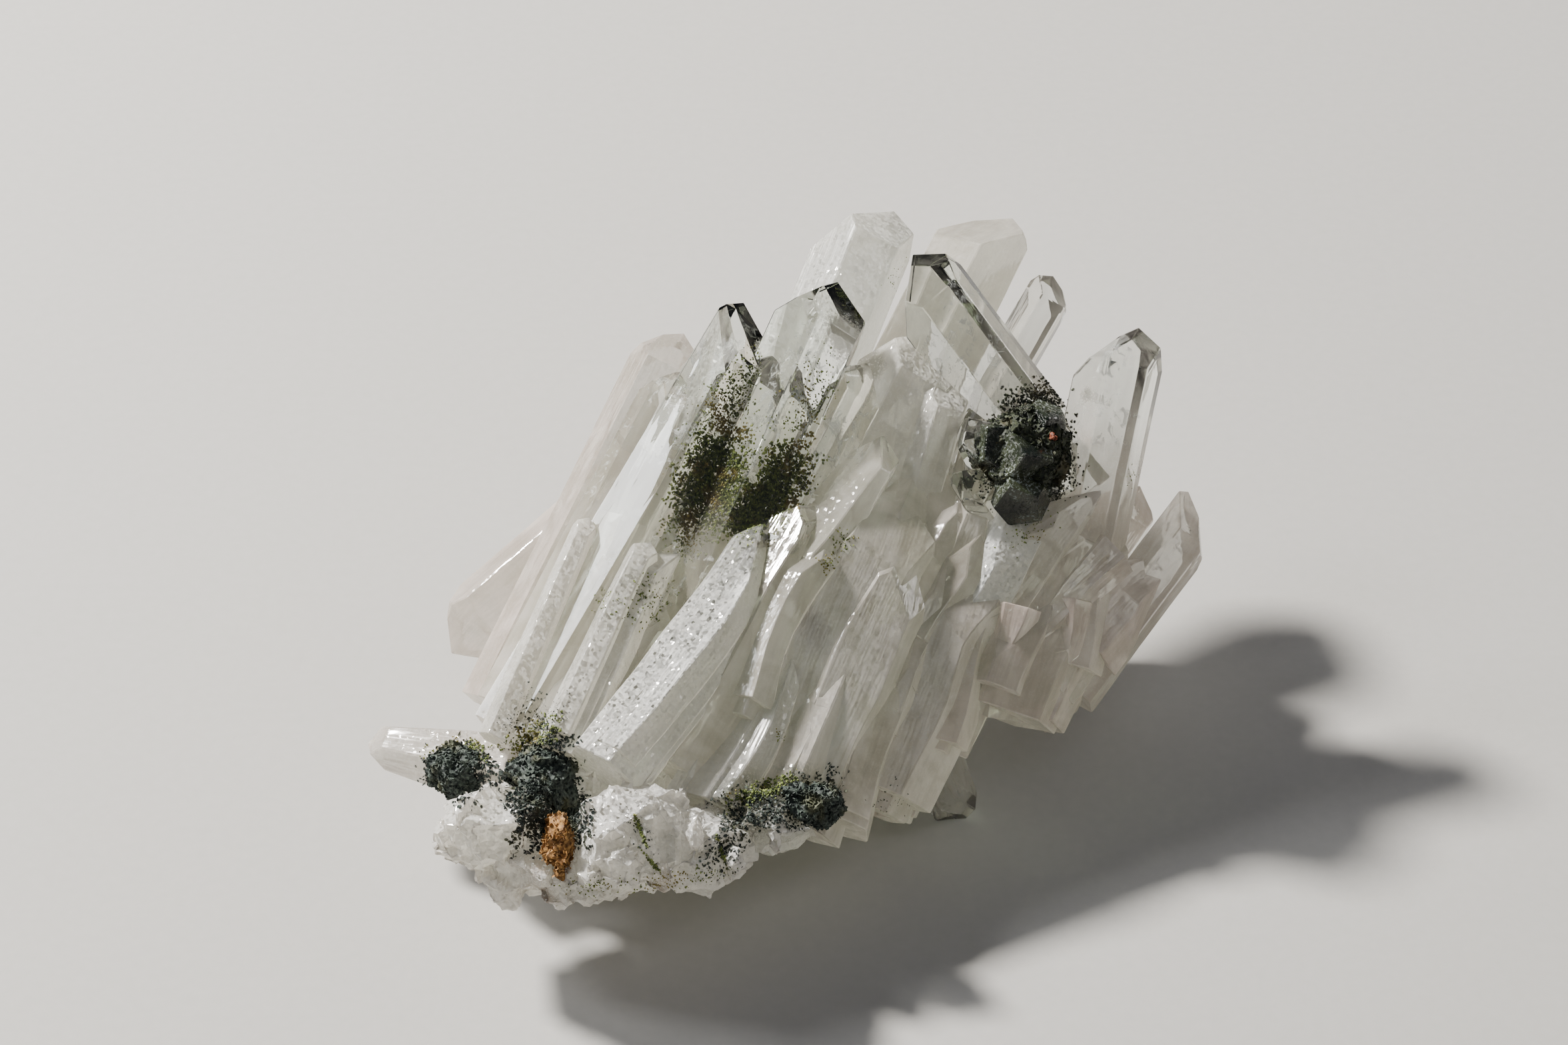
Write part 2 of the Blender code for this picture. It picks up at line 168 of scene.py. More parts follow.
def set_light():
    cluster = (0, 0, 0.02)
    soft_light("sun_side", (-0.52, 0.34, 0.62), cluster, 0.12, 27.0, (1.0, 0.97, 0.92))
    soft_light("left_box", (-0.62, 0.15, 0.60), cluster, 0.20, 2.6, (0.96, 0.98, 1.0))
    soft_light("front_fill", (0.10, -0.52, 0.82), cluster, 0.40, 0.6, (0.93, 0.96, 1.0))
    soft_light("right_fill", (0.85, 0.15, 0.40), cluster, 0.25, 1.4, (1.0, 0.95, 0.93))
    world = bpy.data.worlds.new("studio")
    world.use_nodes = True
    sky = world.node_tree.nodes["Background"]
    sky.inputs["Color"].default_value = (0.80, 0.86, 1.0, 1)
    sky.inputs["Strength"].default_value = 0.11
    bpy.context.scene.world = world
    cycles = bpy.context.scene.cycles
    cycles.max_bounces = 10
    cycles.transmission_bounces = 9
    cycles.transparent_max_bounces = 6
    cycles.diffuse_bounces = 2
    cycles.glossy_bounces = 2


# Finishes

class Value:
    """A socket of a finish, with signs that add Math nodes."""

    def __init__(self, finish, socket):
        self.finish, self.socket = finish, socket

    def __add__(self, other):
        return self.finish.math("ADD", self, other)

    __radd__ = __add__

    def __sub__(self, other):
        return self.finish.math("SUBTRACT", self, other)

    def __rsub__(self, other):
        return self.finish.math("SUBTRACT", other, self)

    def __mul__(self, other):
        return self.finish.math("MULTIPLY", self, other)

    __rmul__ = __mul__


class Finish:
    """A material and the nodes that make it."""

    def __init__(self, name):
        self.material = bpy.data.materials.new(name)
        self.material.use_nodes = True
        self.tree = self.material.node_tree
        self.tree.nodes.clear()
        self.output = self.tree.nodes.new("ShaderNodeOutputMaterial")

    def add(self, kind, settings=None, inputs=None, out=0):
        node = self.tree.nodes.new("ShaderNode" + kind)
        for name, setting in (settings or {}).items():
            setattr(node, name, setting)
        for name, given in (inputs or {}).items():
            if isinstance(given, Value):
                self.tree.links.new(given.socket, node.inputs[name])
            else:
                node.inputs[name].default_value = given
        return Value(self, node.outputs[out])

    def math(self, operation, a, b=0.0, clamp=False):
        return self.add("Math", {"operation": operation, "use_clamp": clamp}, {0: a, 1: b})

    def place(self):
        return self.add("TexCoord", out="Object")

    def noise(self, place, scale, detail=2.0, roughness=0.5, twist=0.0):
        return self.add("TexNoise", inputs={
            "Vector": place, "Scale": scale, "Detail": detail, "Roughness": roughness, "Distortion": twist,
        }, out="Fac")

    def stretch(self, place, scale):
        return self.add("Mapping", inputs={"Vector": place, "Scale": scale})

    def mix(self, factor, a, b):
        return self.add("Mix", {"data_type": "RGBA"}, {0: factor, 6: a, 7: b}, out=2)

    def between(self, value, low, high):
        """0 below low, 1 above high and soft in between."""
        return self.add("MapRange", {"interpolation_type": "SMOOTHSTEP"}, {
            "Value": value, "From Min": low, "From Max": high,
        })

    def tilted(self, normal, place, size, much):
        """The normal of facets as fine as dust, each tilted its own way."""
        facets = self.add("TexVoronoi", inputs={"Vector": place, "Scale": 1 / (size * MM)}, out="Color")
        aside = self.add("VectorMath", {"operation": "SUBTRACT"}, {0: facets, 1: (0.5, 0.5, 0.5)})
        aside = self.add("VectorMath", {"operation": "SCALE"}, {0: aside, "Scale": much})
        return self.add("VectorMath", {"operation": "NORMALIZE"}, {
            0: self.add("VectorMath", {"operation": "ADD"}, {0: normal, 1: aside}),
        })

    def near(self, place, spot, reach):
        """1 at a spot, 0 beyond its reach in millimetres."""
        distance = self.add("VectorMath", {"operation": "DISTANCE"}, {0: place, 1: spot}, out="Value")
        return self.between(distance, reach * MM, 0.0)

    def cover(self, surface, inside=None):
        """Makes this the finish's surface, and what fills the piece under it."""
        self.tree.links.new(surface.socket, self.output.inputs["Surface"])
        if inside:
            self.tree.links.new(inside.socket, self.output.inputs["Volume"])

    def stack(self, factor, under, over):
        return self.add("MixShader", inputs={0: factor, 1: under, 2: over})


# Chlorite dust and iron on the quartz: their colour, and for each patch where it is in the picture, how far
# it reaches in millimetres and how much of it there is
STAINS = (
    ((0.035, 0.05, 0.035, 1), (
        (810, 1190, 8.0, 0.95), (690, 1160, 5.0, 0.9), (850, 1240, 6.0, 0.8), (770, 1060, 5.0, 0.6),
        (1130, 1210, 7.0, 0.9), (1200, 1200, 6.0, 0.9), (1530, 660, 6.5, 0.9), (1268, 500, 4.4, 0.75),
        (1020, 590, 3.4, 0.5), (1305, 545, 3.4, 0.65), (1630, 590, 2.2, 0.6), (960, 1250, 4.0, 0.45),
        (1060, 1290, 4.0, 0.45), (960, 880, 6.0, 0.5),
    )),
    ((0.20, 0.095, 0.03, 1), (
        (830, 1285, 4.0, 0.9), (800, 1330, 6.0, 0.6), (1735, 920, 3.2, 0.4), (1000, 1330, 7.0, 0.5),
        (1150, 1250, 4.0, 0.5),
    )),
)


def quartz_finish(front):
    """Clear at the tips and milky towards the root, as each crystal's habit says."""
    quartz = Finish("quartz")
    place = quartz.place()
    habit = quartz.add("Attribute", {"attribute_name": "habit"}, out="Color")
    parts = quartz.add("SeparateColor", inputs={"Color": habit})
    node = parts.socket.node
    milk_root, milk_tip, frost = (Value(quartz, node.outputs[i]) for i in range(3))
    warmth = quartz.add("Attribute", {"attribute_name": "warmth"}, out="Fac")
    along = quartz.add("Attribute", {"attribute_name": "along"}, out="Fac")
    growth = quartz.add("UVMap", {"uv_map": "growth"})

    sparks = quartz.noise(place, 4200, detail=1, roughness=0.7)
    clouds = quartz.noise(place, 190, detail=3, roughness=0.62, twist=0.8)
    streaks = quartz.noise(quartz.stretch(growth, (520, 50, 1)), 1.0, detail=3, roughness=0.65)
    window = quartz.near(place, front.at(*MOSS_WINDOW), MOSS_WINDOW_REACH)
    climb = quartz.between(along + (clouds - 0.5) * 0.6, 0.1, 0.9)
    milk = milk_root + (milk_tip - milk_root) * climb + (streaks - 0.5) * 0.5 + (clouds - 0.5) * 0.5
    milk = quartz.math("MULTIPLY", quartz.math("ADD", milk, 0.0, clamp=True), 1 - window)

    depth = quartz.math("ADD", clouds * 0.7, streaks * 0.3)
    cool = quartz.mix(quartz.between(depth, 0.38, 0.62), (0.56, 0.53, 0.44, 1), (0.84, 0.81, 0.74, 1))
    # Painted reflection: the pink tone is partly the quartz's own tint and partly warm light reflected from a
    # wooden board, painted in.
    warm = quartz.mix(quartz.between(depth, 0.38, 0.62), (0.52, 0.36, 0.31, 1), (0.84, 0.66, 0.60, 1))
    tone = quartz.mix(frost * 0.9, quartz.mix(warmth, cool, warm), (0.95, 0.95, 0.93, 1))
    ragged = (clouds - 0.5) * 1.4 + (sparks - 0.5) * 0.9
    for stain, patches in STAINS:
        dirt = 0.0
        for px, py, reach, much in patches:
            dirt = quartz.math("MAXIMUM", dirt, quartz.near(place, front.at(px, py), reach) * much)
        specks = quartz.between(dirt * 1.5 + ragged, 0.5, 1.0) * 0.9
        tone = quartz.mix(specks, tone, stain)
        milk = quartz.math("MAXIMUM", milk, specks)

    waves = quartz.noise(quartz.stretch(growth, (420, 110, 1)), 1.0, detail=2)
    ripples = quartz.noise(quartz.stretch(growth, (1100, 120, 1)), 1.0, detail=2, roughness=0.7)
    height = (waves * (0.15 + milk_tip * 0.5) + ripples * milk_tip * 0.6) * (1 - window * 0.9)
    relief = quartz.add("Bump", inputs={"Height": height, "Strength": 1.0, "Distance": 0.00022}, out="Normal")

    clear = quartz.add("BsdfPrincipled", inputs={
        "Base Color": (0.985, 0.99, 0.985, 1), "Roughness": 0.015 + frost * 0.25, "IOR": QUARTZ_IOR,
        "Transmission Weight": 1.0, "Normal": relief,
    }, out="BSDF")
    glow = quartz.add("BsdfTranslucent", inputs={"Color": (0.83, 0.79, 0.72, 1), "Normal": relief})
    # Painted highlights: specks of the skin's colour turned white, most on frosted faces, stand in for
    # sparkling glints.
    painted_glints = quartz.between(sparks, 0.56, 0.64) * (frost * 0.85 + 0.15)
    skin = quartz.add("BsdfPrincipled", inputs={
        "Base Color": quartz.mix(painted_glints, tone, (1, 1, 1, 1)), "Roughness": 0.08, "IOR": QUARTZ_IOR,
        "Normal": quartz.tilted(relief, place, 0.26, frost * 1.1 + 0.04),
    }, out="BSDF")
    milky = quartz.stack(0.5, skin, glow)
    tint = quartz.add("VolumeAbsorption", inputs={"Color": (0.84, 0.88, 0.81, 1), "Density": 80.0})
    quartz.cover(quartz.stack(milk * 0.9, clear, milky), tint)
    return quartz.material


def chlorite_finish(name, dark, light, fleck):
    """Tiny plates, darker in the hollows as painted shade, with paler and browner ones among them."""
    moss = Finish(name)
    place = moss.place()
    speckle = moss.noise(place, 3200, detail=2)
    patches = moss.noise(place, 420, detail=3)
    # Painted shade: the noise that raises the bumps also darkens their low spots.
    tone = moss.mix(moss.between(speckle, 0.35, 0.7), dark, light)
    tone = moss.mix(moss.between(patches, 0.5, 0.68) * 0.7, tone, fleck)
    relief = moss.add("Bump", inputs={"Height": speckle, "Strength": 0.6, "Distance": 0.0001}, out="Normal")
    moss.cover(moss.add("BsdfPrincipled", inputs={
        "Base Color": tone, "Roughness": 0.55 + speckle * 0.3, "Normal": relief,
    }, out="BSDF"))
    return moss.material


# Shapes

def mesh_object(name, bm, smooth=False):
    mesh = bpy.data.meshes.new(name)
    bm.to_mesh(mesh)
    bm.free()
    for face in mesh.polygons:
        face.use_smooth = smooth
    obj = bpy.data.objects.new(name, mesh)
    bpy.context.scene.collection.objects.link(obj)
    return obj


def slice_off(bm, point, normal):
    """Cuts off what lies beyond a plane, and closes the cut."""
    cut = bmesh.ops.bisect_plane(
        bm, geom=bm.verts[:] + bm.edges[:] + bm.faces[:], plane_co=point, plane_no=normal,
        clear_outer=True, dist=CUT_MERGE,
    )
    rim = [e for e in cut["geom_cut"] if isinstance(e, bmesh.types.BMEdge)]
    if rim:
        bmesh.ops.edgeloop_fill(bm, edges=rim)


def wear(bm, edge):
    """Takes the edges off, and leaves no crumbs of faces at the corners."""
    bmesh.ops.bevel(
        bm, geom=bm.edges[:], offset=edge, offset_type="OFFSET", segments=1, profile=0.5, affect="EDGES",
        material=-1, clamp_overlap=True,
    )
    bmesh.ops.remove_doubles(bm, verts=bm.verts, dist=WORN_CORNER)
    bmesh.ops.dissolve_degenerate(bm, dist=WORN_CORNER / 3, edges=bm.edges)


class Habit(NamedTuple):
    """How a crystal looks: milk at its root and tip, frost on its faces, and how warm it is from green to
    pink, partly its own tint and partly painted warm reflected light.
    """
    milk_root: float = 0.8
    milk_tip: float = 0.25
    frost: float = 0.0
    warmth: float = 0.3


class Crystal(NamedTuple):
    """A crystal by the middle of its root and its tip, in the cluster's frame, and its size there."""
    root: tuple
    tip: tuple
    width: float
    depth: float
    turn: float = 10.0  # about its axis, in degrees
    taper: float = 1.0  # how wide it is at the tip, beside the root
    lean: tuple = (0.0, 0.0)  # how far its point stands off the axis, in widths
    habit: Habit = Habit()
    bow: tuple = (0.0, 0.0)  # how far its middle bends to the right and to the back
    breaks: int = 0  # how many long, slanting breaks run down from its point


class Lump(NamedTuple):
    """A broken lump, by its middle and how far it reaches each way."""
    centre: tuple
    radii: tuple
    habit: Habit = Habit(0.95, 0.95, 0.9, 0.4)


CLEAR = Habit(0.45, 0.0, 0.0, 0.2)
GLASSY = Habit(0.7, 0.12, 0.0, 0.2)
# Milky and frosted, and whiter still as painted highlight: it stands in for direct sunlight and glints on
# these crystals.
MILKY_AND_PAINTED_SUNLIT = Habit(1.0, 0.95, 0.6, 0.1)
MILKY = Habit(0.8, 0.5, 0.1, 0.2)
SATIN = Habit(0.85, 0.65, 0.1, 0.35)
FROSTED = Habit(0.8, 0.7, 1.0, 0.25)
# Pinkish: partly the quartz's own tint, partly painted warm reflected light.
ROSY_AND_BOARD_LIT = Habit(0.85, 0.55, 0.05, 0.85)
BEHIND = Habit(0.7, 0.3, 0.0, 0.4)
SPARKLING = Habit(0.55, 0.5, 0.9, 0.3)
VEILED = Habit(1.0, 0.05, 0.15, 0.5)
ROUGH = Habit(0.85, 0.6, 0.45, 0.7)
PALE = Habit(0.75, 0.4, 0.1, 0.7)
SPLINTERY = Habit(0.65, 0.6, 0.1, 0.75)

CRYSTALS = {
    # The clear pair that holds the moss, and the short crystals that step down from it
    "moss_left": Crystal((-23.4, -19.6, 5.0), (-1.3, 18.6, -3.5), 10.4, 7.0, 20, 0.92, (-0.26, 0.0), CLEAR),
    "moss_right": Crystal((-12.7, -17.7, 2.4), (4.9, 21.9, -3.6), 9.7, 7.4, 26, 0.94, habit=CLEAR),
    "step_thin": Crystal((-25.6, -19.2, 7.6), (-17.4, 0.5, 2.8), 3.4, 4.0, 6, 0.7, habit=MILKY_AND_PAINTED_SUNLIT),
    "step_wide": Crystal((-19.9, -20.6, 8.8), (-10.9, -1.1, 2.4), 5.2, 5.0, -6, 0.9, (0.1, 0.1), MILKY_AND_PAINTED_SUNLIT),
    "step_low": Crystal((-18.1, -19.4, 9.0), (-12.1, -5.8, 4.0), 3.4, 3.4, 12, 0.8, habit=MILKY_AND_PAINTED_SUNLIT),
    "grey_edge": Crystal((-18.6, -21.5, 8.0), (-7.6, -5.7, 1.0), 5.4, 5.0, 20, 0.9, habit=SATIN),
    "frosted": Crystal(
        (-15.8, -21.9, 12.0), (-0.2, -0.8, 0.6), 7.4, 6.0, 26, 0.9, habit=FROSTED, bow=(0.3, 0.0),
    ),
    "frosted_low": Crystal((-10.9, -26.6, 11.0), (-3.8, -14.5, 6.0), 3.0, 3.4, 24, 0.7, habit=FROSTED),
    # The blades of the milky middle
    "blade_top": Crystal(
        (-3.9, -18.1, 6.0), (8.7, 8.0, -1.4), 6.8, 6.0, 24, 0.9, (0.05, 0.0), habit=MILKY, bow=(-0.6, 0.2),
    ),
    "blade_mid": Crystal(
        (-0.7, -25.8, 8.0), (11.6, 5.0, -3.4), 7.6, 6.2, -22, 0.8, habit=SATIN, bow=(0.9, 0.3),
    ),
    "blade_right": Crystal(
        (3.9, -26.6, 6.0), (16.0, 4.6, -5.0), 7.6, 6.2, 22, 0.8, habit=SATIN, bow=(-0.8, 0.3),
    ),
    "blade_low": Crystal(
        (-6.8, -25.2, 10.0), (2.8, -5.0, 0.4), 6.0, 4.8, 20, 0.7, habit=MILKY_AND_PAINTED_SUNLIT, bow=(0.8, 0.0),
    ),
    "broad_back": Crystal((-4.0, -17.2, -2.0), (13.7, 17.4, -8.0), 9.2, 7.6, 14, habit=MILKY_AND_PAINTED_SUNLIT),
    "glint": Crystal((6.8, -16.0, -2.0), (15.1, 13.6, -6.0), 5.8, 6.0, 22, habit=MILKY_AND_PAINTED_SUNLIT),
    # The crystals that stand up at the top and behind
    "crosswise": Crystal((27.4, 2.2, -8.5), (11.0, 23.9, -5.0), 8.4, 6.6, lean=(0.11, 0.0), habit=CLEAR),
    "peak": Crystal((-1.7, 2.9, -9.0), (9.2, 29.8, -18.0), 9.6, 8.0, 12, lean=(0.13, 0.0), habit=SPARKLING),
    "peak_right": Crystal((8.8, 7.4, -14.0), (20.4, 29.8, -24.0), 10.2, 8.6, -30, 1.0, (0.16, 0.0), MILKY),
    "peak_small": Crystal((13.6, 2.0, -13.0), (26.0, 23.1, -20.0), 4.9, 4.6, 14, 1.0, (-0.12, 0.0), GLASSY),
    "left_tall": Crystal((-26.9, -16.8, -7.0), (-9.9, 17.9, -14.0), 6.2, 6.4, 4, lean=(0.1, 0.0), habit=PALE),
    "left_broad": Crystal((-11.5, 4.5, -15.0), (-31.0, -12.2, -13.0), 9.0, 7.0, 12, 0.95, habit=ROSY_AND_BOARD_LIT),
    # The right-hand group
    "right_clear": Crystal((24.8, -13.0, -5.0), (31.6, 18.2, -8.0), 7.3, 6.6, lean=(0.13, 0.0), habit=VEILED),
    "right_end": Crystal((26.0, -15.6, -8.0), (39.3, 1.6, -12.0), 6.2, 5.6, lean=(-0.35, 0.0), habit=ROSY_AND_BOARD_LIT),
    "right_behind": Crystal((21.2, -14.0, -12.0), (33.4, 3.5, -16.0), 6.8, 6.0, 24, habit=ROSY_AND_BOARD_LIT),
    "shard_pink": Crystal(
        (13.4, -19.8, 1.0), (17.7, -1.0, -3.0), 6.2, 6.0, 8, 0.9, habit=ROSY_AND_BOARD_LIT, bow=(0.8, 0.3),
    ),
    "shard_mid": Crystal((18.9, -15.4, -1.0), (23.2, -3.4, -4.0), 6.0, 6.0, 14, habit=ROSY_AND_BOARD_LIT),
    "shard_low": Crystal((22.4, -18.0, -5.0), (28.3, -4.6, -7.0), 6.8, 6.0, 0, 0.9, habit=ROSY_AND_BOARD_LIT),
    "shard_far": Crystal((12.5, -13.0, -1.0), (18.6, 3.2, -4.0), 5.6, 5.6, 4, habit=SATIN),
    "shard_end": Crystal((26.8, -8.6, -7.0), (23.6, -19.4, -6.0), 6.4, 6.0, 16, 0.8, habit=ROSY_AND_BOARD_LIT),
    "shard_down": Crystal((21.0, -7.0, -1.0), (19.4, -13.8, -0.4), 4.4, 4.2, 10, 0.5, habit=ROSY_AND_BOARD_LIT),
    "shard_down_right": Crystal((26.2, -6.6, -3.0), (24.8, -13.2, -2.2), 4.4, 4.2, 22, 0.5, habit=ROSY_AND_BOARD_LIT),
    "behind_nest": Crystal((13.0, -7.0, -5.0), (18.0, 11.6, -9.0), 8.0, 7.0, 20, habit=GLASSY),
    "shard_grey": Crystal((8.8, -26.6, -1.0), (13.0, -8.0, -2.0), 5.6, 5.6, 18, habit=SATIN, bow=(0.9, 0.0)),
    "nest": Crystal((25.0, 4.6, -10.0), (19.8, 5.6, 0.4), 8.6, 8.6, 12, habit=CLEAR),
    "nest_left": Crystal((20.5, 2.0, -7.0), (16.6, 9.4, -0.2), 4.4, 4.6, 8, habit=CLEAR),
    "nest_low": Crystal((20.0, -0.6, -6.0), (15.9, 4.6, 1.0), 3.6, 4.0, 24, habit=CLEAR),
    "nest_top": Crystal((20.0, 3.0, -6.0), (22.4, 10.6, -0.6), 4.0, 4.4, 14, habit=CLEAR),
    "nest_frosted": Crystal((16.0, -10.2, -1.8), (23.4, 3.4, -2.8), 5.6, 5.4, 20, habit=FROSTED),
    # Broad crystals that fill the grooves between the ones in front
    "bed_left": Crystal((-24.6, -17.4, -1.0), (-8.4, 14.0, -8.4), 7.4, 6.4, 16, habit=GLASSY),
    "bed_moss": Crystal((-17.4, -18.6, 2.0), (0.2, 14.4, -6.2), 8.0, 5.6, 4, habit=GLASSY),
    "bed_moss_right": Crystal((-7.4, -14.0, 0.6), (7.6, 14.6, -5.0), 7.4, 6.0, 22, habit=GLASSY),
    "bed_step": Crystal((-20.6, -20.4, 6.4), (-10.6, -2.4, 0.0), 10.4, 5.6, -4, habit=GLASSY),
    "bed_frosted": Crystal((-9.6, -22.4, 7.4), (4.2, 1.6, -0.6), 9.6, 6.6, 18, habit=SATIN),
    "bed_middle": Crystal((-1.4, -24.6, 5.4), (10.6, 3.0, -1.8), 12.4, 7.6, 6, habit=SATIN, bow=(-0.8, 0.0)),
    "bed_right": Crystal((7.6, -24.0, 1.4), (18.2, 3.4, -4.2), 11.6, 7.6, -6, habit=SATIN, bow=(1.0, 0.0)),
    "bed_far_right": Crystal((19.4, -17.4, -3.4), (27.0, 3.2, -6.8), 10.8, 7.6, 10, habit=ROSY_AND_BOARD_LIT),
    "bed_top": Crystal((10.0, -6.0, -5.0), (21.4, 12.2, -9.0), 9.0, 7.0, -12, habit=GLASSY),
    # Broken slabs of the right-hand group, one over another
    "slab_low": Crystal((13.4, -19.6, -2.6), (20.6, -5.4, -1.0), 8.6, 6.0, 27, 0.8, (0.3, 0.1), SPLINTERY),
    "slab_middle": Crystal(
        (18.4, -17.2, -3.4), (25.0, -1.6, -1.4), 8.2, 6.6, -18, 0.7, (-0.3, 0.2), SPLINTERY,
    ),
    "slab_top": Crystal((17.2, -8.2, -3.0), (27.2, 4.0, -3.4), 9.0, 6.4, 14, 0.7, (0.2, -0.2), SATIN),
    "slab_right": Crystal((23.0, -14.6, -4.6), (32.4, -2.0, -6.0), 8.8, 6.2, 24, 0.8, (-0.2, 0.1), SPLINTERY),
    "slab_end": Crystal((27.4, -11.4, -7.0), (35.4, -3.0, -8.4), 7.4, 6.6, -12, 0.8, (0.1, 0.2), ROSY_AND_BOARD_LIT),
    "slab_across": Crystal((30.0, -2.6, -4.0), (19.0, -13.0, -1.6), 5.4, 4.6, 10, 0.5, (0.2, 0.0), SPLINTERY),
    "slab_over": Crystal((12.4, -10.6, 0.2), (20.4, 1.6, -2.2), 6.6, 5.0, -26, 0.6, (0.0, 0.2), SATIN),
    # The leftmost crystal, which points away from the rest
    "pointing_left": Crystal((-22.4, -22.7, 3.0), (-37.7, -20.0, -2.0), 9.0, 6.6, 30, 0.3, habit=ROUGH),
    # The crystals behind, on the lowest of which the cluster lies
    "foot": Crystal((11.0, -14.0, -5.0), (16.4, -27.8, -9.8), 6.0, 6.0, 15, 0.8, habit=BEHIND),
    "under_left": Crystal((-14.0, -20.0, 0.0), (-26.0, -23.0, -15.0), 6.4, 6.0, 20, habit=BEHIND),
    "back_low_left": Crystal((-12.0, -18.0, -2.0), (-19.0, -7.0, -30.0), 8.4, 7.4, 12, habit=BEHIND),
    "back_low_mid": Crystal((-2.0, -18.0, -2.0), (2.0, -6.0, -34.0), 9.0, 8.0, 25, habit=BEHIND),
    "back_low_right": Crystal((6.0, -16.0, -4.0), (19.0, -8.0, -29.0), 8.0, 7.2, 5, habit=BEHIND),
    "back_right": Crystal((12.0, -12.0, -8.0), (29.0, -3.0, -25.0), 6.6, 6.0, 18, habit=BEHIND),
    "back_mid_left": Crystal((-8.0, -12.0, -8.0), (-11.0, 4.0, -35.0), 8.0, 7.0, 8, habit=BEHIND),
    "back_mid": Crystal((-4.0, -12.0, -8.0), (3.0, 11.0, -35.0), 9.0, 8.0, 28, habit=BEHIND),
    "back_mid_right": Crystal((4.0, -10.0, -8.0), (16.0, 6.0, -34.0), 8.4, 7.6, 16, habit=BEHIND),
    "back_left": Crystal((-14.0, -14.0, -4.0), (-24.0, -5.0, -27.0), 7.0, 6.4, 22, habit=BEHIND),
    "back_top": Crystal((-8.0, -4.0, -8.0), (-4.0, 15.0, -28.0), 7.6, 7.0, 10, habit=BEHIND),
}

LUMPS = {
    "root_left": Lump((-25.0, -26.6, 12.0), (4.6, 3.8, 6.0)),
    "root_left_end": Lump((-28.0, -28.0, 12.0), (2.6, 1.8, 3.0)),
    "root_mid": Lump((-13.2, -27.4, 14.0), (5.6, 4.8, 6.0)),
    "root_right": Lump((-7.9, -28.6, 12.0), (5.2, 3.6, 5.4)),
    "root_bottom": Lump((-22.0, -29.8, 13.0), (3.8, 2.6, 4.6)),
    "root_under": Lump((-17.0, -31.0, 13.5), (3.8, 2.0, 4.2)),
    "root_heart": Lump((-17.0, -22.5, 4.0), (7.4, 5.0, 6.0)),
    "root_low": Lump((-1.5, -26.0, 8.0), (4.8, 3.2, 5.6)),
    "milky_heart": Lump((-2.0, -12.0, -6.0), (14.0, 12.0, 10.0)),
    "right_heart": Lump((18.0, -6.0, -9.5), (11.0, 11.0, 7.0)),
}

# The lumps that show, with smaller broken pieces standing out of each
CHIPPED = ("root_left", "root_left_end", "root_mid", "root_right", "root_bottom", "root_under", "root_low")
CHIPS_EACH = 4

# How many thinner crystals are grown along one
STEPS = {
    "frosted": 3, "blade_top": 2, "blade_mid": 3, "blade_right": 3, "blade_low": 2, "broad_back": 2,
    "glint": 1, "left_broad": 1, "shard_pink": 1, "shard_mid": 1, "shard_grey": 2, "bed_middle": 2,
    "bed_right": 2, "bed_frosted": 2, "step_wide": 2, "bed_step": 1,
}

# How many long breaks run down from the points of the splintery ones
BROKEN = {
    "blade_top": 1, "blade_mid": 2, "blade_right": 2, "blade_low": 2, "bed_middle": 2, "bed_right": 2,
    "bed_frosted": 1, "shard_grey": 2, "shard_pink": 2, "shard_mid": 2, "shard_low": 2, "shard_far": 1,
    "shard_end": 1, "frosted": 1, "slab_low": 2, "slab_middle": 2, "slab_top": 2, "slab_right": 2,
    "slab_end": 1, "slab_across": 1, "slab_over": 2, "bed_far_right": 2, "frosted_low": 1, "grey_edge": 1,
    "nest_frosted": 1,
}

# The ones that stand shoulder to shoulder in the milky middle and the right-hand group, and how much broader
# and deeper they are here
FULLER, DEEPER = 1.10, 1.06
SHOULDER_TO_SHOULDER = (
    "frosted", "blade_top", "blade_mid", "blade_right", "blade_low", "broad_back", "shard_grey", "bed_middle",
    "bed_right", "bed_far_right", "bed_frosted", "step_wide", "step_low", "grey_edge", "right_clear",
)

# Small crystals that stand out of the chlorite nest, coated with it
NEST_CRYSTALS = (
    Crystal((22.0, 3.6, -6.0), (18.2, 8.6, 1.4), 5.6, 5.2, 8),
    Crystal((21.0, 5.6, -5.0), (21.6, 6.0, 3.4), 6.4, 6.0, 26),
    Crystal((22.6, 2.0, -5.0), (20.2, 3.2, 2.8), 5.6, 5.6, 12),
    Crystal((23.0, 8.0, -6.0), (23.8, 9.4, 0.8), 4.4, 4.4, 40),
)
NEST_SEEDS = 70

# Grains by the patch: its centre in the picture, half its length and width there, how steeply it stands in
# degrees, how many grains, their size, and between which depths under the face they lie, in millimetres.
# This is the moss inside the clear pair.
MOSS = (
    (1066, 718, 120, 62, 66, 3300, 0.155, (0.10, 0.8)),
    (1158, 742, 118, 56, 60, 3300, 0.155, (0.10, 0.8)),
    (1115, 775, 56, 60, 60, 1100, 0.15, (0.10, 0.7)),
    (1075, 690, 170, 90, 66, 700, 0.10, (0.10, 0.6)),
    (1105, 590, 110, 34, 66, 480, 0.11, (0.12, 0.5)),
    (1070, 610, 90, 26, 66, 260, 0.10, (0.12, 0.5)),
    (1215, 600, 90, 44, 66, 300, 0.11, (0.12, 0.5)),
    (1030, 800, 60, 40, 66, 260, 0.10, (0.12, 0.4)),
)
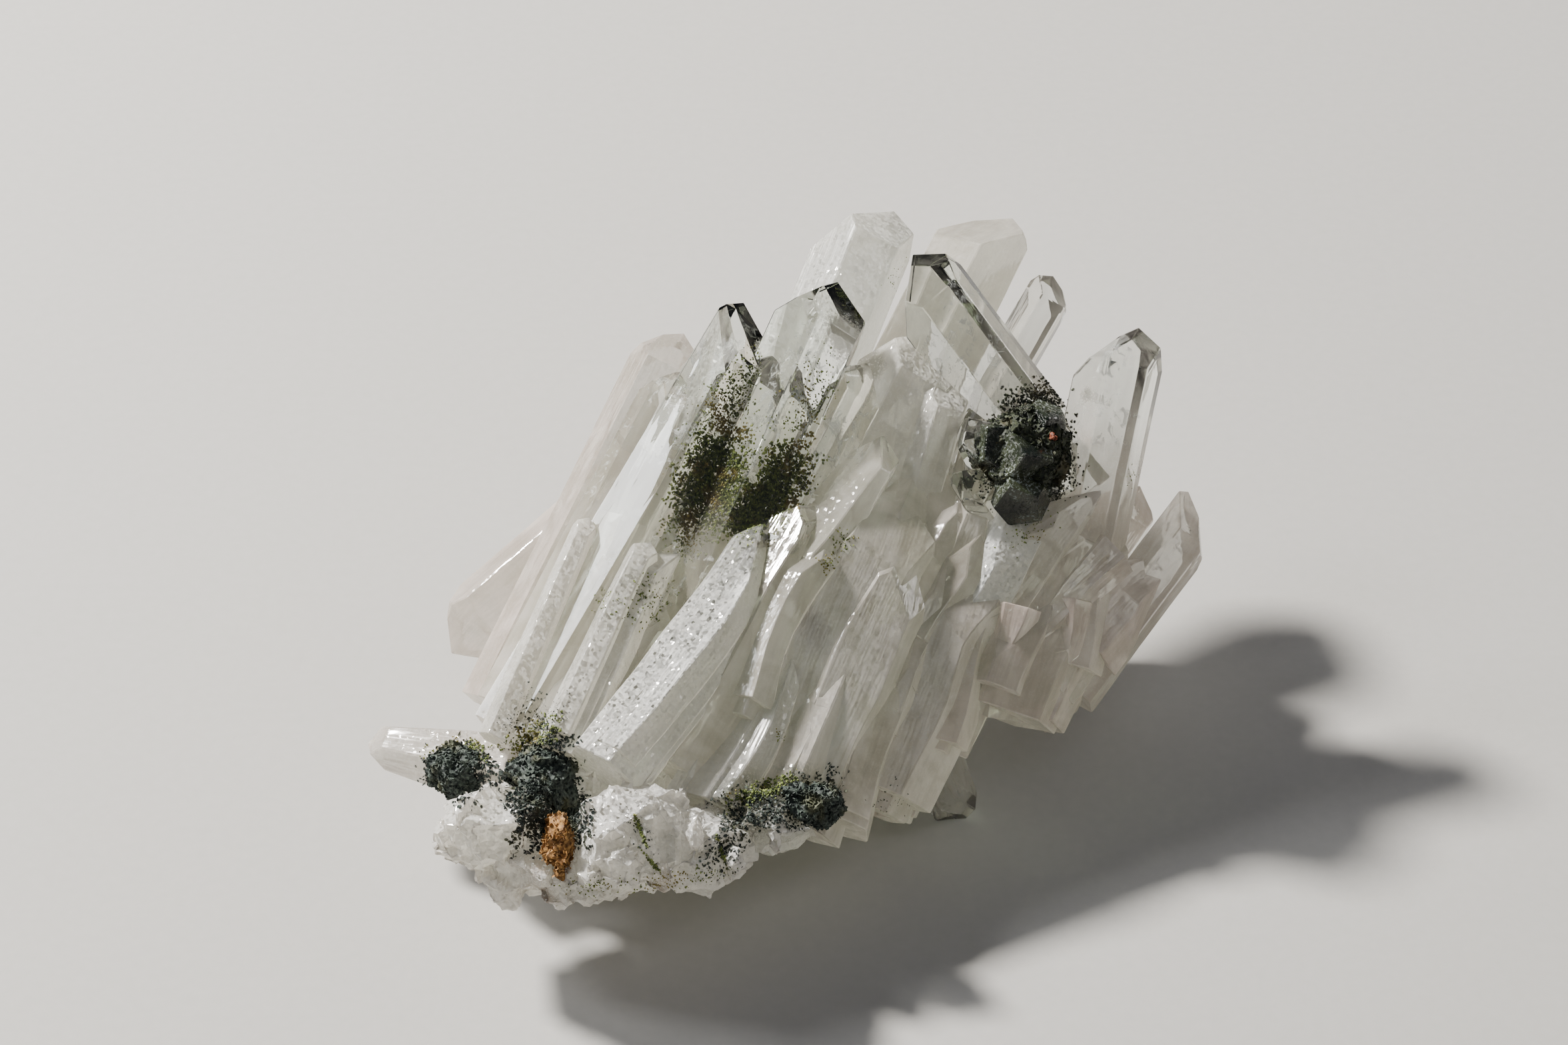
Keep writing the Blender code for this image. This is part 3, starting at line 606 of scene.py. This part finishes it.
# The dark grains on the nest and the rust-red one in it
NEST_MOSS = (
    (1545, 640, 90, 70, 60, 1500, 0.15, (-0.2, 0.2)),
    (1560, 610, 60, 46, 60, 700, 0.13, (-0.2, 0.2)),
    (1500, 700, 70, 50, 60, 500, 0.13, (-0.1, 0.2)),
    (1590, 720, 50, 40, 60, 300, 0.13, (-0.1, 0.2)),
)
RED_GRAIN = ((1579, 655, 5, 6, 0, 9, 0.26, (-0.45, -0.15)),)
# Plates of chlorite on the root, and olive dust in the grooves and along the breaks
CHLORITE = (
    (690, 1158, 66, 54, 0, 1500, 0.17, (-0.2, 0.1)),
    (812, 1185, 110, 60, 80, 3400, 0.18, (-0.2, 0.1)),
    (800, 1090, 80, 60, 60, 420, 0.10, (-0.06, 0.1)),
    (855, 1245, 50, 40, 40, 700, 0.17, (-0.2, 0.1)),
    (1140, 1215, 90, 45, 10, 900, 0.15, (-0.2, 0.1)),
    (1215, 1200, 70, 45, 40, 700, 0.15, (-0.2, 0.1)),
    (1090, 1270, 60, 40, 60, 360, 0.15, (-0.15, 0.1)),
    (960, 1250, 60, 20, -60, 110, 0.10, (-0.05, 0.1)),
    (1340, 1200, 60, 40, 60, 60, 0.09, (-0.05, 0.1)),
    (858, 1222, 14, 46, -35, 420, 0.15, (-0.2, 0.1)),
)
OLIVE = (
    (690, 1128, 60, 26, 10, 500, 0.12, (-0.25, 0.0)),
    (800, 1110, 60, 34, 30, 420, 0.12, (-0.25, 0.0)),
    (1150, 1185, 70, 22, 20, 420, 0.12, (-0.25, 0.0)),
    (961, 1246, 44, 4, -68, 150, 0.11, (-0.15, 0.0)),
    (978, 1294, 30, 4, -50, 90, 0.11, (-0.15, 0.0)),
    (1084, 1280, 36, 4, -72, 120, 0.11, (-0.15, 0.0)),
    (1010, 1320, 120, 20, 8, 260, 0.09, (-0.1, 0.1)),
    (900, 1330, 90, 20, 0, 160, 0.09, (-0.1, 0.1)),
    (1545, 800, 60, 30, 30, 110, 0.09, (-0.05, 0.1)),
    (1265, 812, 30, 24, 0, 80, 0.10, (-0.05, 0.1)),
    (1240, 845, 26, 20, 0, 70, 0.10, (-0.05, 0.1)),
    (968, 900, 60, 46, 60, 240, 0.11, (-0.05, 0.2)),
    (905, 900, 30, 40, 60, 80, 0.10, (-0.05, 0.2)),
    (1170, 1105, 16, 12, 0, 30, 0.10, (-0.05, 0.1)),
    (1700, 715, 30, 20, 60, 44, 0.08, (-0.05, 0.1)),
    (1345, 420, 40, 30, 60, 40, 0.08, (-0.05, 0.1)),
)

# Veils, healed cracks in the clear quartz: the middle of each in the picture, half its length and width
# there, how steeply it stands in degrees, and how far under the face it lies, in millimetres
VEILS = (
    (1087, 600, 84, 34, 66, 2.4), (1120, 690, 60, 26, 66, 2.2),
    (1024, 770, 60, 32, 66, 2.2), (1180, 600, 60, 30, 66, 2.4),
    (1480, 590, 90, 45, 60, 1.6), (1430, 500, 70, 34, 70, 1.2), (1530, 640, 50, 30, 40, 1.2),
    (1640, 655, 60, 40, 60, 0.9), (1665, 560, 50, 24, 75, 1.4), (1000, 665, 40, 30, 60, 0.8),
    (1020, 560, 70, 30, 62, 1.6), (1270, 480, 90, 50, 60, 2.0), (1330, 620, 90, 40, 60, 1.4),
    (940, 960, 110, 40, 62, 1.0), (900, 1060, 100, 34, 62, 1.2), (1010, 860, 60, 40, 40, 0.9),
    (890, 700, 90, 30, 62, 1.6), (1180, 600, 70, 30, 62, 2.2), (1240, 680, 70, 26, 62, 1.8),
    (1480, 920, 90, 50, 50, 1.0), (1600, 930, 80, 50, 30, 1.0), (1700, 880, 70, 40, 60, 1.2),
    (1760, 800, 60, 26, 55, 1.2), (1400, 980, 80, 40, 60, 0.9), (1530, 1010, 70, 40, 20, 0.9),
)
VEIL_LONG, VEIL_WIDE = 14, 8  # in cells
VEIL_WAVE, VEIL_RIPPLE, VEIL_STARTS = 0.8, 1.6, 9  # how deep and close its waves are, and where they start
VEIL_TORN = 1.6  # a veil is torn where its cells would be longer than this


def crystal_frame(crystal):
    """A crystal's own frame: across it to the right, across it to the back, and up its axis from the root."""
    root, tip = Vector(crystal.root) * MM, Vector(crystal.tip) * MM
    axis = (tip - root).normalized()
    out = Vector((0, -1, 0)) if abs(axis.z) > 0.9 else Vector((0, 0, 1))
    back = (axis * axis.dot(out) - out).normalized()
    right = back.cross(axis)
    return LAID_BACK @ Matrix.Translation(root) @ Matrix((right, back, axis)).transposed().to_4x4()


def form_frame(form):
    if isinstance(form, Crystal):
        return crystal_frame(form)
    return LAID_BACK @ Matrix.Translation(Vector(form.centre) * MM)


def crystal_length(crystal):
    return (Vector(crystal.tip) - Vector(crystal.root)).length


def leaning(around, tilt):
    """The direction that leans from a crystal's axis by a tilt, at an angle around it."""
    return Vector((math.cos(around) * math.sin(tilt), math.sin(around) * math.sin(tilt), math.cos(tilt)))


def crystal_bmesh(crystal, chance):
    """A six-sided prism with a six-faced point, its faces not quite alike and its edges a little worn."""
    length, width = crystal_length(crystal), crystal.width
    reach = length + width
    half = width / 2
    end = half * max(1 + (crystal.taper - 1) * reach / length, LEAST_TAPER)
    first = math.radians(30 + crystal.turn)
    bm = bmesh.new()
    bmesh.ops.create_cone(bm, cap_ends=True, segments=6, radius1=half, radius2=end, depth=reach)
    bmesh.ops.rotate(bm, verts=bm.verts, matrix=Matrix.Rotation(first, 3, "Z"))
    bmesh.ops.scale(bm, verts=bm.verts, vec=(1, crystal.depth / width / math.cos(math.radians(30)), 1))
    bmesh.ops.translate(bm, verts=bm.verts, vec=(0, 0, reach / 2))
    stand_out = [chance.uniform(*UNEVEN) for corner in range(6)]
    for vert in bm.verts:
        corner = round((math.atan2(vert.co.y, vert.co.x) - first) / math.radians(60)) % 6
        vert.co.x *= stand_out[corner]
        vert.co.y *= stand_out[corner]
    point = Vector((crystal.lean[0] * width, crystal.lean[1] * width, length))
    for side in range(6):
        normal = leaning(first + math.radians(60 * side), POINT_FACE_TILT)
        slice_off(bm, point + normal * (side % 2 * chance.uniform(*SMALL_FACES) * width), normal)
    for _ in range(crystal.breaks):
        around = math.radians(chance.uniform(*BREAK_AROUND))
        normal = leaning(around, math.radians(chance.uniform(*BREAK_TILT)))
        slice_off(bm, point + normal * chance.uniform(*BREAK_OUT) * width, normal)
    wear(bm, WORN_EDGE)
    if crystal.bow != (0.0, 0.0):
        for ring in range(1, BOW_RINGS):
            bmesh.ops.bisect_plane(
                bm, geom=bm.verts[:] + bm.edges[:] + bm.faces[:],
                plane_co=(0, 0, reach * ring / BOW_RINGS), plane_no=(0, 0, 1), dist=CUT_MERGE,
            )
        for vert in bm.verts:
            share = vert.co.z / length
            vert.co.x += crystal.bow[0] * 4 * share * (1 - share)
            vert.co.y += crystal.bow[1] * 4 * share * (1 - share)
    bmesh.ops.scale(bm, verts=bm.verts, vec=(MM, MM, MM))
    bmesh.ops.transform(bm, matrix=crystal_frame(crystal), verts=bm.verts)
    return bm


def step_beside(crystal, chance):
    """A thinner, shorter crystal grown along another one, so that a step shows on its faces."""
    axis = Vector(crystal.tip) - Vector(crystal.root)
    aside = Vector([chance.uniform(-STEP_ASIDE, STEP_ASIDE) * crystal.width for _ in range(3)])
    swing = Vector([chance.uniform(-STEP_SWING, STEP_SWING) * axis.length for _ in range(3)])
    root = Vector(crystal.root) + axis * STEP_ROOT + aside
    tip = Vector(crystal.root) + axis * chance.uniform(*STEP_TIP) + aside + swing
    share = chance.uniform(*STEP_SHARE)
    return crystal._replace(
        root=tuple(root), tip=tuple(tip), width=crystal.width * share,
        depth=crystal.depth * share * STEP_DEEPER,
        lean=(chance.uniform(-STEP_LEAN, STEP_LEAN), chance.uniform(-STEP_LEAN, STEP_LEAN)),
    )


def chips_on(lump, chance):
    """Small broken pieces that stand out of a lump, on the side that it turns up."""
    for _ in range(CHIPS_EACH):
        out = Vector((chance.uniform(-1, 1), chance.uniform(-1, 0.7), chance.uniform(-0.2, 1))).normalized()
        centre = [at + much * way * CHIP_OUT for at, much, way in zip(lump.centre, lump.radii, out)]
        yield Lump(tuple(centre), tuple(chance.uniform(*CHIP_SIZE) for _ in range(3)))


def lump_bmesh(lump, seed):
    """A ball with flats broken off all round, spread evenly but not quite."""
    chance = random.Random(seed)
    bm = bmesh.new()
    bmesh.ops.create_icosphere(bm, subdivisions=2, radius=LUMP_BALL)
    turn = chance.uniform(0, math.tau)
    for cut in range(LUMP_CUTS):
        height = 1 - 2 * (cut + 0.5) / LUMP_CUTS
        around = turn + cut * math.pi * (3 - math.sqrt(5))  # the golden angle from cut to cut
        around += chance.uniform(-LUMP_SWING, LUMP_SWING)
        flat = math.sqrt(1 - height * height)
        normal = Vector((flat * math.cos(around), flat * math.sin(around), height))
        slice_off(bm, normal * chance.uniform(*LUMP_CUT_OUT), normal)
    bmesh.ops.scale(bm, verts=bm.verts, vec=lump.radii)
    wear(bm, 2 * WORN_EDGE)
    bmesh.ops.translate(bm, verts=bm.verts, vec=lump.centre)
    bmesh.ops.scale(bm, verts=bm.verts, vec=(MM, MM, MM))
    bmesh.ops.transform(bm, matrix=LAID_BACK, verts=bm.verts)
    return bm


def join_with(obj, operation, operand):
    """Adds a Boolean with one object, or with all that a collection holds."""
    boolean = obj.modifiers.new(operation.lower(), "BOOLEAN")
    boolean.operation = operation
    boolean.solver = "EXACT"
    boolean.material_mode = "TRANSFER"
    if isinstance(operand, bpy.types.Collection):
        boolean.operand_type = "COLLECTION"
        boolean.collection = operand
    else:
        boolean.object = operand


def settle(obj):
    """Settles an object's Booleans and keeps its largest body, without loose crumbs and closed pockets."""
    bpy.context.view_layer.update()
    evaluated = obj.evaluated_get(bpy.context.evaluated_depsgraph_get())
    mesh = evaluated.to_mesh()
    materials = [material.name for material in mesh.materials]
    bm = bmesh.new()
    bm.from_mesh(mesh)
    evaluated.to_mesh_clear()
    bmesh.ops.remove_doubles(bm, verts=bm.verts, dist=SAME_POINT * MM)
    bmesh.ops.dissolve_degenerate(bm, dist=SAME_POINT * MM, edges=bm.edges)
    bodies, left = [], set(bm.verts)
    while left:
        body, edge = set(), [left.pop()]
        while edge:
            vert = edge.pop()
            body.add(vert)
            for link in vert.link_edges:
                other = link.other_vert(vert)
                if other in left:
                    left.discard(other)
                    edge.append(other)
        bodies.append(body)
    largest = max(bodies, key=lambda body: math.prod(
        max(v.co[i] for v in body) - min(v.co[i] for v in body) for i in range(3)
    ))
    crumbs = [vert for body in bodies if body is not largest for vert in body]
    bmesh.ops.delete(bm, geom=crumbs, context="VERTS")
    obj.modifiers.clear()
    obj.data.materials.clear()
    for name in materials:
        obj.data.materials.append(bpy.data.materials[name])
    bm.to_mesh(obj.data)
    bm.free()


def of_its_own(name, crystal, seed):
    """The crystal with what sets it apart from its kind: a little more or less milk, frost and warmth."""
    if name in SHOULDER_TO_SHOULDER:
        crystal = crystal._replace(width=crystal.width * FULLER, depth=crystal.depth * DEEPER)
    own, habit = random.Random(OWN_SEEDS + seed), crystal.habit
    milk = own.uniform(-OWN_MILK, OWN_MILK)
    habit = habit._replace(
        milk_root=habit.milk_root + milk, milk_tip=habit.milk_tip * (1 + OWN_MILK_TIP * milk),
        frost=habit.frost * own.uniform(*OWN_FROST), warmth=habit.warmth * own.uniform(*OWN_WARMTH_AND_BOARD_LIGHT),
    )
    return crystal._replace(breaks=BROKEN.get(name, 0), habit=habit)


def grow_quartz():
    """Every crystal and lump grown together, flat where the cluster rests, its faces not quite even."""
    growth = bpy.data.collections.new("growth")
    bpy.context.scene.collection.children.link(growth)
    kept = {}

    def put(name, bm, form, into):
        obj = mesh_object(name, bm)
        bpy.context.scene.collection.objects.unlink(obj)
        into.objects.link(obj)
        marker = bpy.data.materials.new(name)
        obj.data.materials.append(marker)
        kept[marker.name] = form
        return obj

    for seed, (name, crystal) in enumerate(CRYSTALS.items()):
        chance = random.Random(seed)
        crystal = of_its_own(name, crystal, seed)
        put(name, crystal_bmesh(crystal, chance), crystal, growth)
        for _ in range(STEPS.get(name, 0)):
            step = step_beside(crystal, chance)
            put(name + "_step", crystal_bmesh(step, chance), step, growth)
    for seed, (name, lump) in enumerate(LUMPS.items()):
        if name in CHIPPED:
            for piece, chip in enumerate(chips_on(lump, random.Random(seed))):
                put("chip", lump_bmesh(chip, CHIP_SEEDS * seed + piece), chip, growth)
        obj = put(name, lump_bmesh(lump, seed), lump, growth)
        if name == "milky_heart":
            quartz = obj
    growth.objects.unlink(quartz)
    bpy.context.scene.collection.objects.link(quartz)
    # What the ground cuts flat has a form too, one of the root's lumps
    bm = bmesh.new()
    bmesh.ops.create_cube(bm, size=GROUND_SIZE)
    bmesh.ops.translate(bm, verts=bm.verts, vec=(0, 0, -GROUND_SIZE / 2))
    ground = put("ground", bm, LUMPS["root_low"], bpy.context.scene.collection)
    join_with(quartz, "UNION", growth)
    join_with(quartz, "DIFFERENCE", ground)
    settle(quartz)

    forms = [kept[material.name] for material in quartz.data.materials]
    bm = bmesh.new()
    bm.from_mesh(quartz.data)
    make_fine(bm, forms)
    swell(bm, forms)
    bm.to_mesh(quartz.data)
    bm.free()
    quartz.data.validate()
    for obj in [*growth.objects, ground]:
        bpy.data.objects.remove(obj)
    bpy.data.collections.remove(growth)
    quartz.name = quartz.data.name = "quartz_crystals"
    for face in quartz.data.polygons:
        face.use_smooth = True
    quartz.data.set_sharp_from_angle(angle=SHARP)
    keep_growth(quartz.data, forms)
    return quartz


def make_fine(bm, forms):
    """Cuts the faces into small cells, so that broad ones can swell and dip, and the root's can be rugged."""
    for kind, cell in (((Crystal, Lump), CELL * MM), (Lump, ROOT_CELL * MM)):
        for axis in range(3):
            along = Vector([float(i == axis) for i in range(3)])
            faces = [face for face in bm.faces if isinstance(forms[face.material_index], kind)]
            geom = list({part for face in faces for part in (face, *face.edges, *face.verts)})
            reach = [vert.co[axis] for face in faces for vert in face.verts]
            for cut in range(math.ceil(min(reach) / cell), math.ceil(max(reach) / cell)):
                geom = bmesh.ops.bisect_plane(
                    bm, geom=geom, plane_co=along * cut * cell, plane_no=along, dist=CELL_MERGE * MM,
                )["geom"]
    bmesh.ops.triangulate(bm, faces=bm.faces)


def swell(bm, forms):
    """Grown faces swell and dip, with shallow grooves along the milky ones, and broken faces are rugged."""
    frames = [form_frame(form).inverted() for form in forms]
    bm.normal_update()
    moves = []
    for vert in bm.verts:
        grown_as = vert.link_faces[0].material_index
        spot = frames[grown_as] @ vert.co / MM
        if isinstance(forms[grown_as], Lump):
            much = RUGGED * (noise.ridged_multi_fractal(spot * RUGGED_SCALE, *RUGGED_FORM) - RUGGED_MIDDLE)
        else:
            milk = forms[grown_as].habit.milk_tip
            grooves = noise.noise(Vector((
                spot.x * GROOVE_ACROSS, spot.y * GROOVE_ACROSS, spot.z * GROOVE_ALONG + grown_as,
            )))
            swells = noise.noise(spot * SWELL_SCALE)
            much = grooves * (GROOVE_CLEAR + (GROOVE_MILKY - GROOVE_CLEAR) * milk)
            much += swells * (SWELL_CLEAR + (SWELL_MILKY - SWELL_CLEAR) * milk)
        moves.append(vert.normal * MM * much)
    to_cluster = LAID_BACK.inverted()
    for vert, move in zip(bm.verts, moves):
        if vert.co.z > ON_THE_FLOOR * MM:
            vert.co += move + wandering(to_cluster @ vert.co / MM)
            vert.co.z = max(vert.co.z, 0.0)


def wandering(spot):
    """How far the milky middle's and the right-hand group's edges wander from straight lines here."""
    much = 0.0
    for u, v, reach in WANDERING:
        much = max(much, 1 - ((spot.x - u) ** 2 + (spot.y - v) ** 2) / reach ** 2)
    aside = [noise.noise(spot * WANDER_SCALE + Vector((start, 0, 0))) for start in WANDER_STARTS]
    return LAID_BACK.to_3x3() @ Vector((*aside, 0)) * (much * WANDER * MM)


def keep_growth(mesh, forms):
    """Writes each face's crystal into the mesh: how far along it, across it, and its habit."""
    mesh.uv_layers.new(name="growth")
    mesh.color_attributes.new("habit", "FLOAT_COLOR", "CORNER")
    mesh.attributes.new("along", "FLOAT", "CORNER")
    mesh.attributes.new("warmth", "FLOAT", "CORNER")
    growth, habit = mesh.uv_layers["growth"].data, mesh.attributes["habit"].data
    along, warmth = mesh.attributes["along"].data, mesh.attributes["warmth"].data
    frames = [form_frame(form).inverted() for form in forms]
    for face in mesh.polygons:
        form, to_form = forms[face.material_index], frames[face.material_index]
        normal = to_form.to_3x3() @ face.normal
        side = Vector((-normal.y, normal.x, 0))
        side = side.normalized() if side.length > 1e-6 else Vector((1, 0, 0))
        length = crystal_length(form) * MM if isinstance(form, Crystal) else 2 * form.radii[2] * MM
        for corner in face.loop_indices:
            spot = to_form @ mesh.vertices[mesh.loops[corner].vertex_index].co
            growth[corner].uv = (spot.dot(side), spot.z)
            along[corner].value = spot.z / length
            habit[corner].color = (form.habit.milk_root, form.habit.milk_tip, form.habit.frost, 1)
            warmth[corner].value = form.habit.warmth
        face.material_index = 0
    mesh.materials.clear()


class Front:
    """The face that a piece turns to the camera, for what lies on it or just under it."""

    def __init__(self, obj):
        bm = bmesh.new()
        bm.from_mesh(obj.data)
        self.tree = BVHTree.FromBMesh(bm)
        bm.free()

    def at(self, px, py, under=0.0):
        """The spot at this place of the picture, or some millimetres under it, or None beside the piece."""
        eye, ray = sight(px, py)
        spot = self.tree.ray_cast(eye, ray)[0]
        return None if spot is None else spot + ray * under * MM


# Chlorite, iron, dust and veils

def grain_mesh(kind):
    """One grain, of unit size, for thousands of copies."""
    bm = bmesh.new()
    if kind == "plate":
        bmesh.ops.create_cone(bm, cap_ends=True, segments=6, radius1=1, radius2=0.9, depth=0.34)
    else:
        bmesh.ops.create_icosphere(bm, subdivisions=1, radius=1)
    mesh = bpy.data.meshes.new(kind)
    bm.to_mesh(mesh)
    bm.free()
    return mesh


def strew(bm, kind, places):
    """Adds a grain of this kind at every place."""
    grain = grain_mesh(kind)
    shape = [0.0] * (3 * len(grain.vertices))
    grain.vertices.foreach_get("co", shape)
    for place in places:
        grain.transform(place)
        bm.from_mesh(grain)
        grain.vertices.foreach_set("co", shape)
    bpy.data.meshes.remove(grain)


def tumbled(spot, size, chance, flatness=GRAIN_FLATNESS):
    """A grain's place, turned any way and not quite round."""
    turn = Euler([chance.uniform(0, math.tau) for _ in range(3)])
    grown = [size * MM * chance.uniform(*GRAIN_GIRTH) for _ in range(2)] + [size * MM * flatness]
    return Matrix.LocRotScale(spot, turn, Vector(grown))


def on_slope(px, py, along, across, slope):
    """A place of the picture, from a patch's middle and how far along and across its slope it is."""
    x = px + along * math.cos(slope) + across * math.sin(slope)
    y = py - along * math.sin(slope) + across * math.cos(slope)
    return x, y


def grown_grains(front, patches, chance):
    """Places of the grains on the quartz or just inside it, patch by patch, ragged at the rim."""
    places = []
    coarse, fine = CLUMP_SCALES
    for px, py, long, wide, lean, count, size, depths in patches:
        for _ in range(count):
            along, across = chance.gauss(0, SPREAD), chance.gauss(0, SPREAD)
            x, y = on_slope(px, py, long * along, wide * across, math.radians(lean))
            clumps = noise.noise(Vector((x, y, 0)) * coarse)
            clumps += 0.5 * noise.noise(Vector((x, y, CLUMP_START)) * fine)
            if clumps < RAGGED_RIM[0] * (along * along + across * across) - RAGGED_RIM[1]:
                continue
            spot = front.at(x, y, chance.uniform(*depths))
            if spot is not None:
                places.append(tumbled(spot, size * chance.uniform(*GRAIN_SIZE), chance))
    return places


def ridden(name, bm, finish, slot, smooth=False):
    """The finished piece, which rides on the cluster."""
    obj = mesh_object(name, bm, smooth)
    obj.data.materials.append(finish)
    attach(obj, "root")
    return obj


def coated_finish():
    """Quartz faces grown over with chlorite: nearly black, glassy between, with small raised specks painted
    silvery grey as glints.
    """
    coat = Finish("coated_quartz")
    place = coat.place()
    specks = coat.between(coat.noise(place, 3600, detail=3, roughness=0.7), 0.50, 0.64)
    patches = coat.noise(place, 340, detail=3)
    dark = coat.mix(coat.between(patches, 0.4, 0.62), (0.005, 0.008, 0.005, 1), (0.030, 0.036, 0.018, 1))
    # Painted highlights: the specks turn silvery grey where the patches are paler, in place of glints.
    tone = coat.mix(specks * coat.between(patches, 0.46, 0.64), dark, (0.26, 0.30, 0.28, 1))
    relief = coat.add("Bump", inputs={"Height": specks, "Strength": 0.5, "Distance": 0.00012}, out="Normal")
    coat.cover(coat.add("BsdfPrincipled", inputs={
        "Base Color": tone, "Roughness": 0.14 + specks * 0.3, "IOR": QUARTZ_IOR, "Normal": relief,
    }, out="BSDF"))
    return coat.material


def tuft(node, name, seed, finish, slot, plates):
    """A tuft in the place of its solid: a knobbly core, with small plates standing out all over it."""
    chance = random.Random(seed)
    bm = bmesh.new()
    bm.from_mesh(frame["nodes"][node].data)
    bmesh.ops.remove_doubles(bm, verts=bm.verts, dist=NODE_MERGE * MM)
    bmesh.ops.subdivide_edges(bm, edges=bm.edges, cuts=2, use_grid_fill=True)
    bmesh.ops.triangulate(bm, faces=bm.faces)
    bm.normal_update()
    for vert in bm.verts:
        knobs = noise.noise(vert.co * KNOB_SCALES[0]) + 0.5 * noise.noise(vert.co * KNOB_SCALES[1])
        vert.co += vert.normal * (knobs * KNOB_HEIGHT - KNOB_MIDDLE) * MM
    bm.normal_update()
    faces = [(face.calc_center_median(), face.normal.copy(), face.calc_area()) for face in bm.faces]
    places = []
    for centre, normal, area in chance.choices(faces, weights=[face[2] for face in faces], k=plates):
        nearby = Vector([chance.uniform(-1, 1) for _ in range(3)]) * math.sqrt(area) * PLATE_SPREAD
        size = PLATE_SIZE * chance.uniform(*PLATE_SIZES)
        spot = centre + nearby - normal * nearby.dot(normal) + normal * size * PLATE_OUT * MM
        places.append(tumbled(spot, size, chance, PLATE_FLATNESS))
    strew(bm, "plate", places)
    obj = ridden(name, bm, finish, slot)
    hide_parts(node)
    return obj


def veil_finish():
    """Healed cracks inside the clear crystals: thin white feathers with nothing between them."""
    veil = Finish("veil")
    place = veil.place()
    feathers = veil.noise(veil.stretch(place, (1, 1, 0.45)), 900, detail=5, roughness=0.7, twist=1.2)
    thick = veil.between(feathers, 0.50, 0.66)
    white = veil.add("BsdfPrincipled", inputs={
        "Base Color": veil.mix(feathers, (0.75, 0.78, 0.74, 1), (0.95, 0.95, 0.93, 1)), "Roughness": 0.25,
    }, out="BSDF")
    clear = veil.add("BsdfTransparent", inputs={"Color": (1, 1, 1, 1)})
    veil.cover(veil.stack(thick * 0.75, clear, white))
    return veil.material


def veils(front, chance):
    """Each veil is a small, curved sheet that follows the face it lies under."""
    bm = bmesh.new()
    for px, py, long, wide, lean, under in VEILS:
        sheet = bmesh.ops.create_grid(bm, x_segments=VEIL_LONG, y_segments=VEIL_WIDE, size=1.0)["verts"]
        start = chance.uniform(0, VEIL_STARTS)
        lost = []
        for vert in sheet:
            x, y = on_slope(px, py, vert.co.x * long, vert.co.y * wide, math.radians(lean))
            wave = Vector((vert.co.x * VEIL_RIPPLE + start, vert.co.y * VEIL_RIPPLE, start))
            spot = front.at(x, y, under * (1 + VEIL_WAVE * noise.noise(wave)))
            if spot is None:
                lost.append(vert)
            else:
                vert.co = spot
        bmesh.ops.delete(bm, geom=lost, context="VERTS")
    torn = [edge for edge in bm.edges if edge.calc_length() > VEIL_TORN * MM]
    bmesh.ops.delete(bm, geom=torn, context="EDGES")
    bmesh.ops.delete(bm, geom=[vert for vert in bm.verts if not vert.link_faces], context="VERTS")
    return bm


def nest_crystals():
    """All the small crystals of the nest in one mesh."""
    bm = bmesh.new()
    for seed, crystal in enumerate(NEST_CRYSTALS, start=NEST_SEEDS):
        grown = crystal_bmesh(crystal, random.Random(seed))
        mesh = bpy.data.meshes.new("nest_crystal")
        grown.to_mesh(mesh)
        grown.free()
        bm.from_mesh(mesh)
        bpy.data.meshes.remove(mesh)
    return bm


set_camera()
set_floor()
set_light()
quartz = grow_quartz()
front = Front(quartz)
quartz.data.materials.append(quartz_finish(front))
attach(quartz, "root")
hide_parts("quartz_cluster")

green = chlorite_finish(
    "chlorite", (0.009, 0.015, 0.013, 1), (0.070, 0.092, 0.074, 1), (0.08, 0.08, 0.035, 1),
)
olive = chlorite_finish("moss", (0.055, 0.080, 0.014, 1), (0.25, 0.30, 0.07, 1), (0.28, 0.19, 0.05, 1))
dark_moss = chlorite_finish(
    "dark_moss", (0.006, 0.009, 0.004, 1), (0.040, 0.050, 0.020, 1), (0.07, 0.055, 0.02, 1),
)
ochre = chlorite_finish("iron_stain", (0.16, 0.07, 0.015, 1), (0.42, 0.22, 0.06, 1), (0.05, 0.03, 0.015, 1))
red = chlorite_finish("red_grain", (0.10, 0.018, 0.006, 1), (0.30, 0.065, 0.02, 1), (0.20, 0.05, 0.015, 1))

tuft("chlorite_left", "chlorite_tuft_left", 1, green, "chlorite", 1400)
tuft("chlorite_root", "chlorite_tuft_root", 2, green, "chlorite", 2200)
tuft("chlorite_rim", "chlorite_tuft_rim", 3, green, "chlorite", 1400)
nest_tuft = tuft("chlorite_nest", "chlorite_tuft_nest", 4, dark_moss, "chlorite", 3000)
tuft("iron_crust", "iron_crust_grains", 5, ochre, "iron_stain", 900)

ridden("nest_crystals", nest_crystals(), coated_finish(), "chlorite")
ridden("veils", veils(front, random.Random(21)), veil_finish(), "quartz", smooth=True)

grain_pieces = (
    ("moss_inside", "grain", front, MOSS, olive, "chlorite"),
    ("chlorite_grains", "plate", front, CHLORITE, green, "chlorite"),
    ("olive_grains", "grain", front, OLIVE, olive, "chlorite"),
    ("nest_grains", "grain", front, NEST_MOSS, dark_moss, "chlorite"),
    ("red_grain", "grain", Front(nest_tuft), RED_GRAIN, red, "iron_stain"),
)
for seed, (name, kind, under, patches, finish, slot) in enumerate(grain_pieces, start=11):
    bm = bmesh.new()
    strew(bm, kind, grown_grains(under, patches, random.Random(seed)))
    ridden(name, bm, finish, slot)
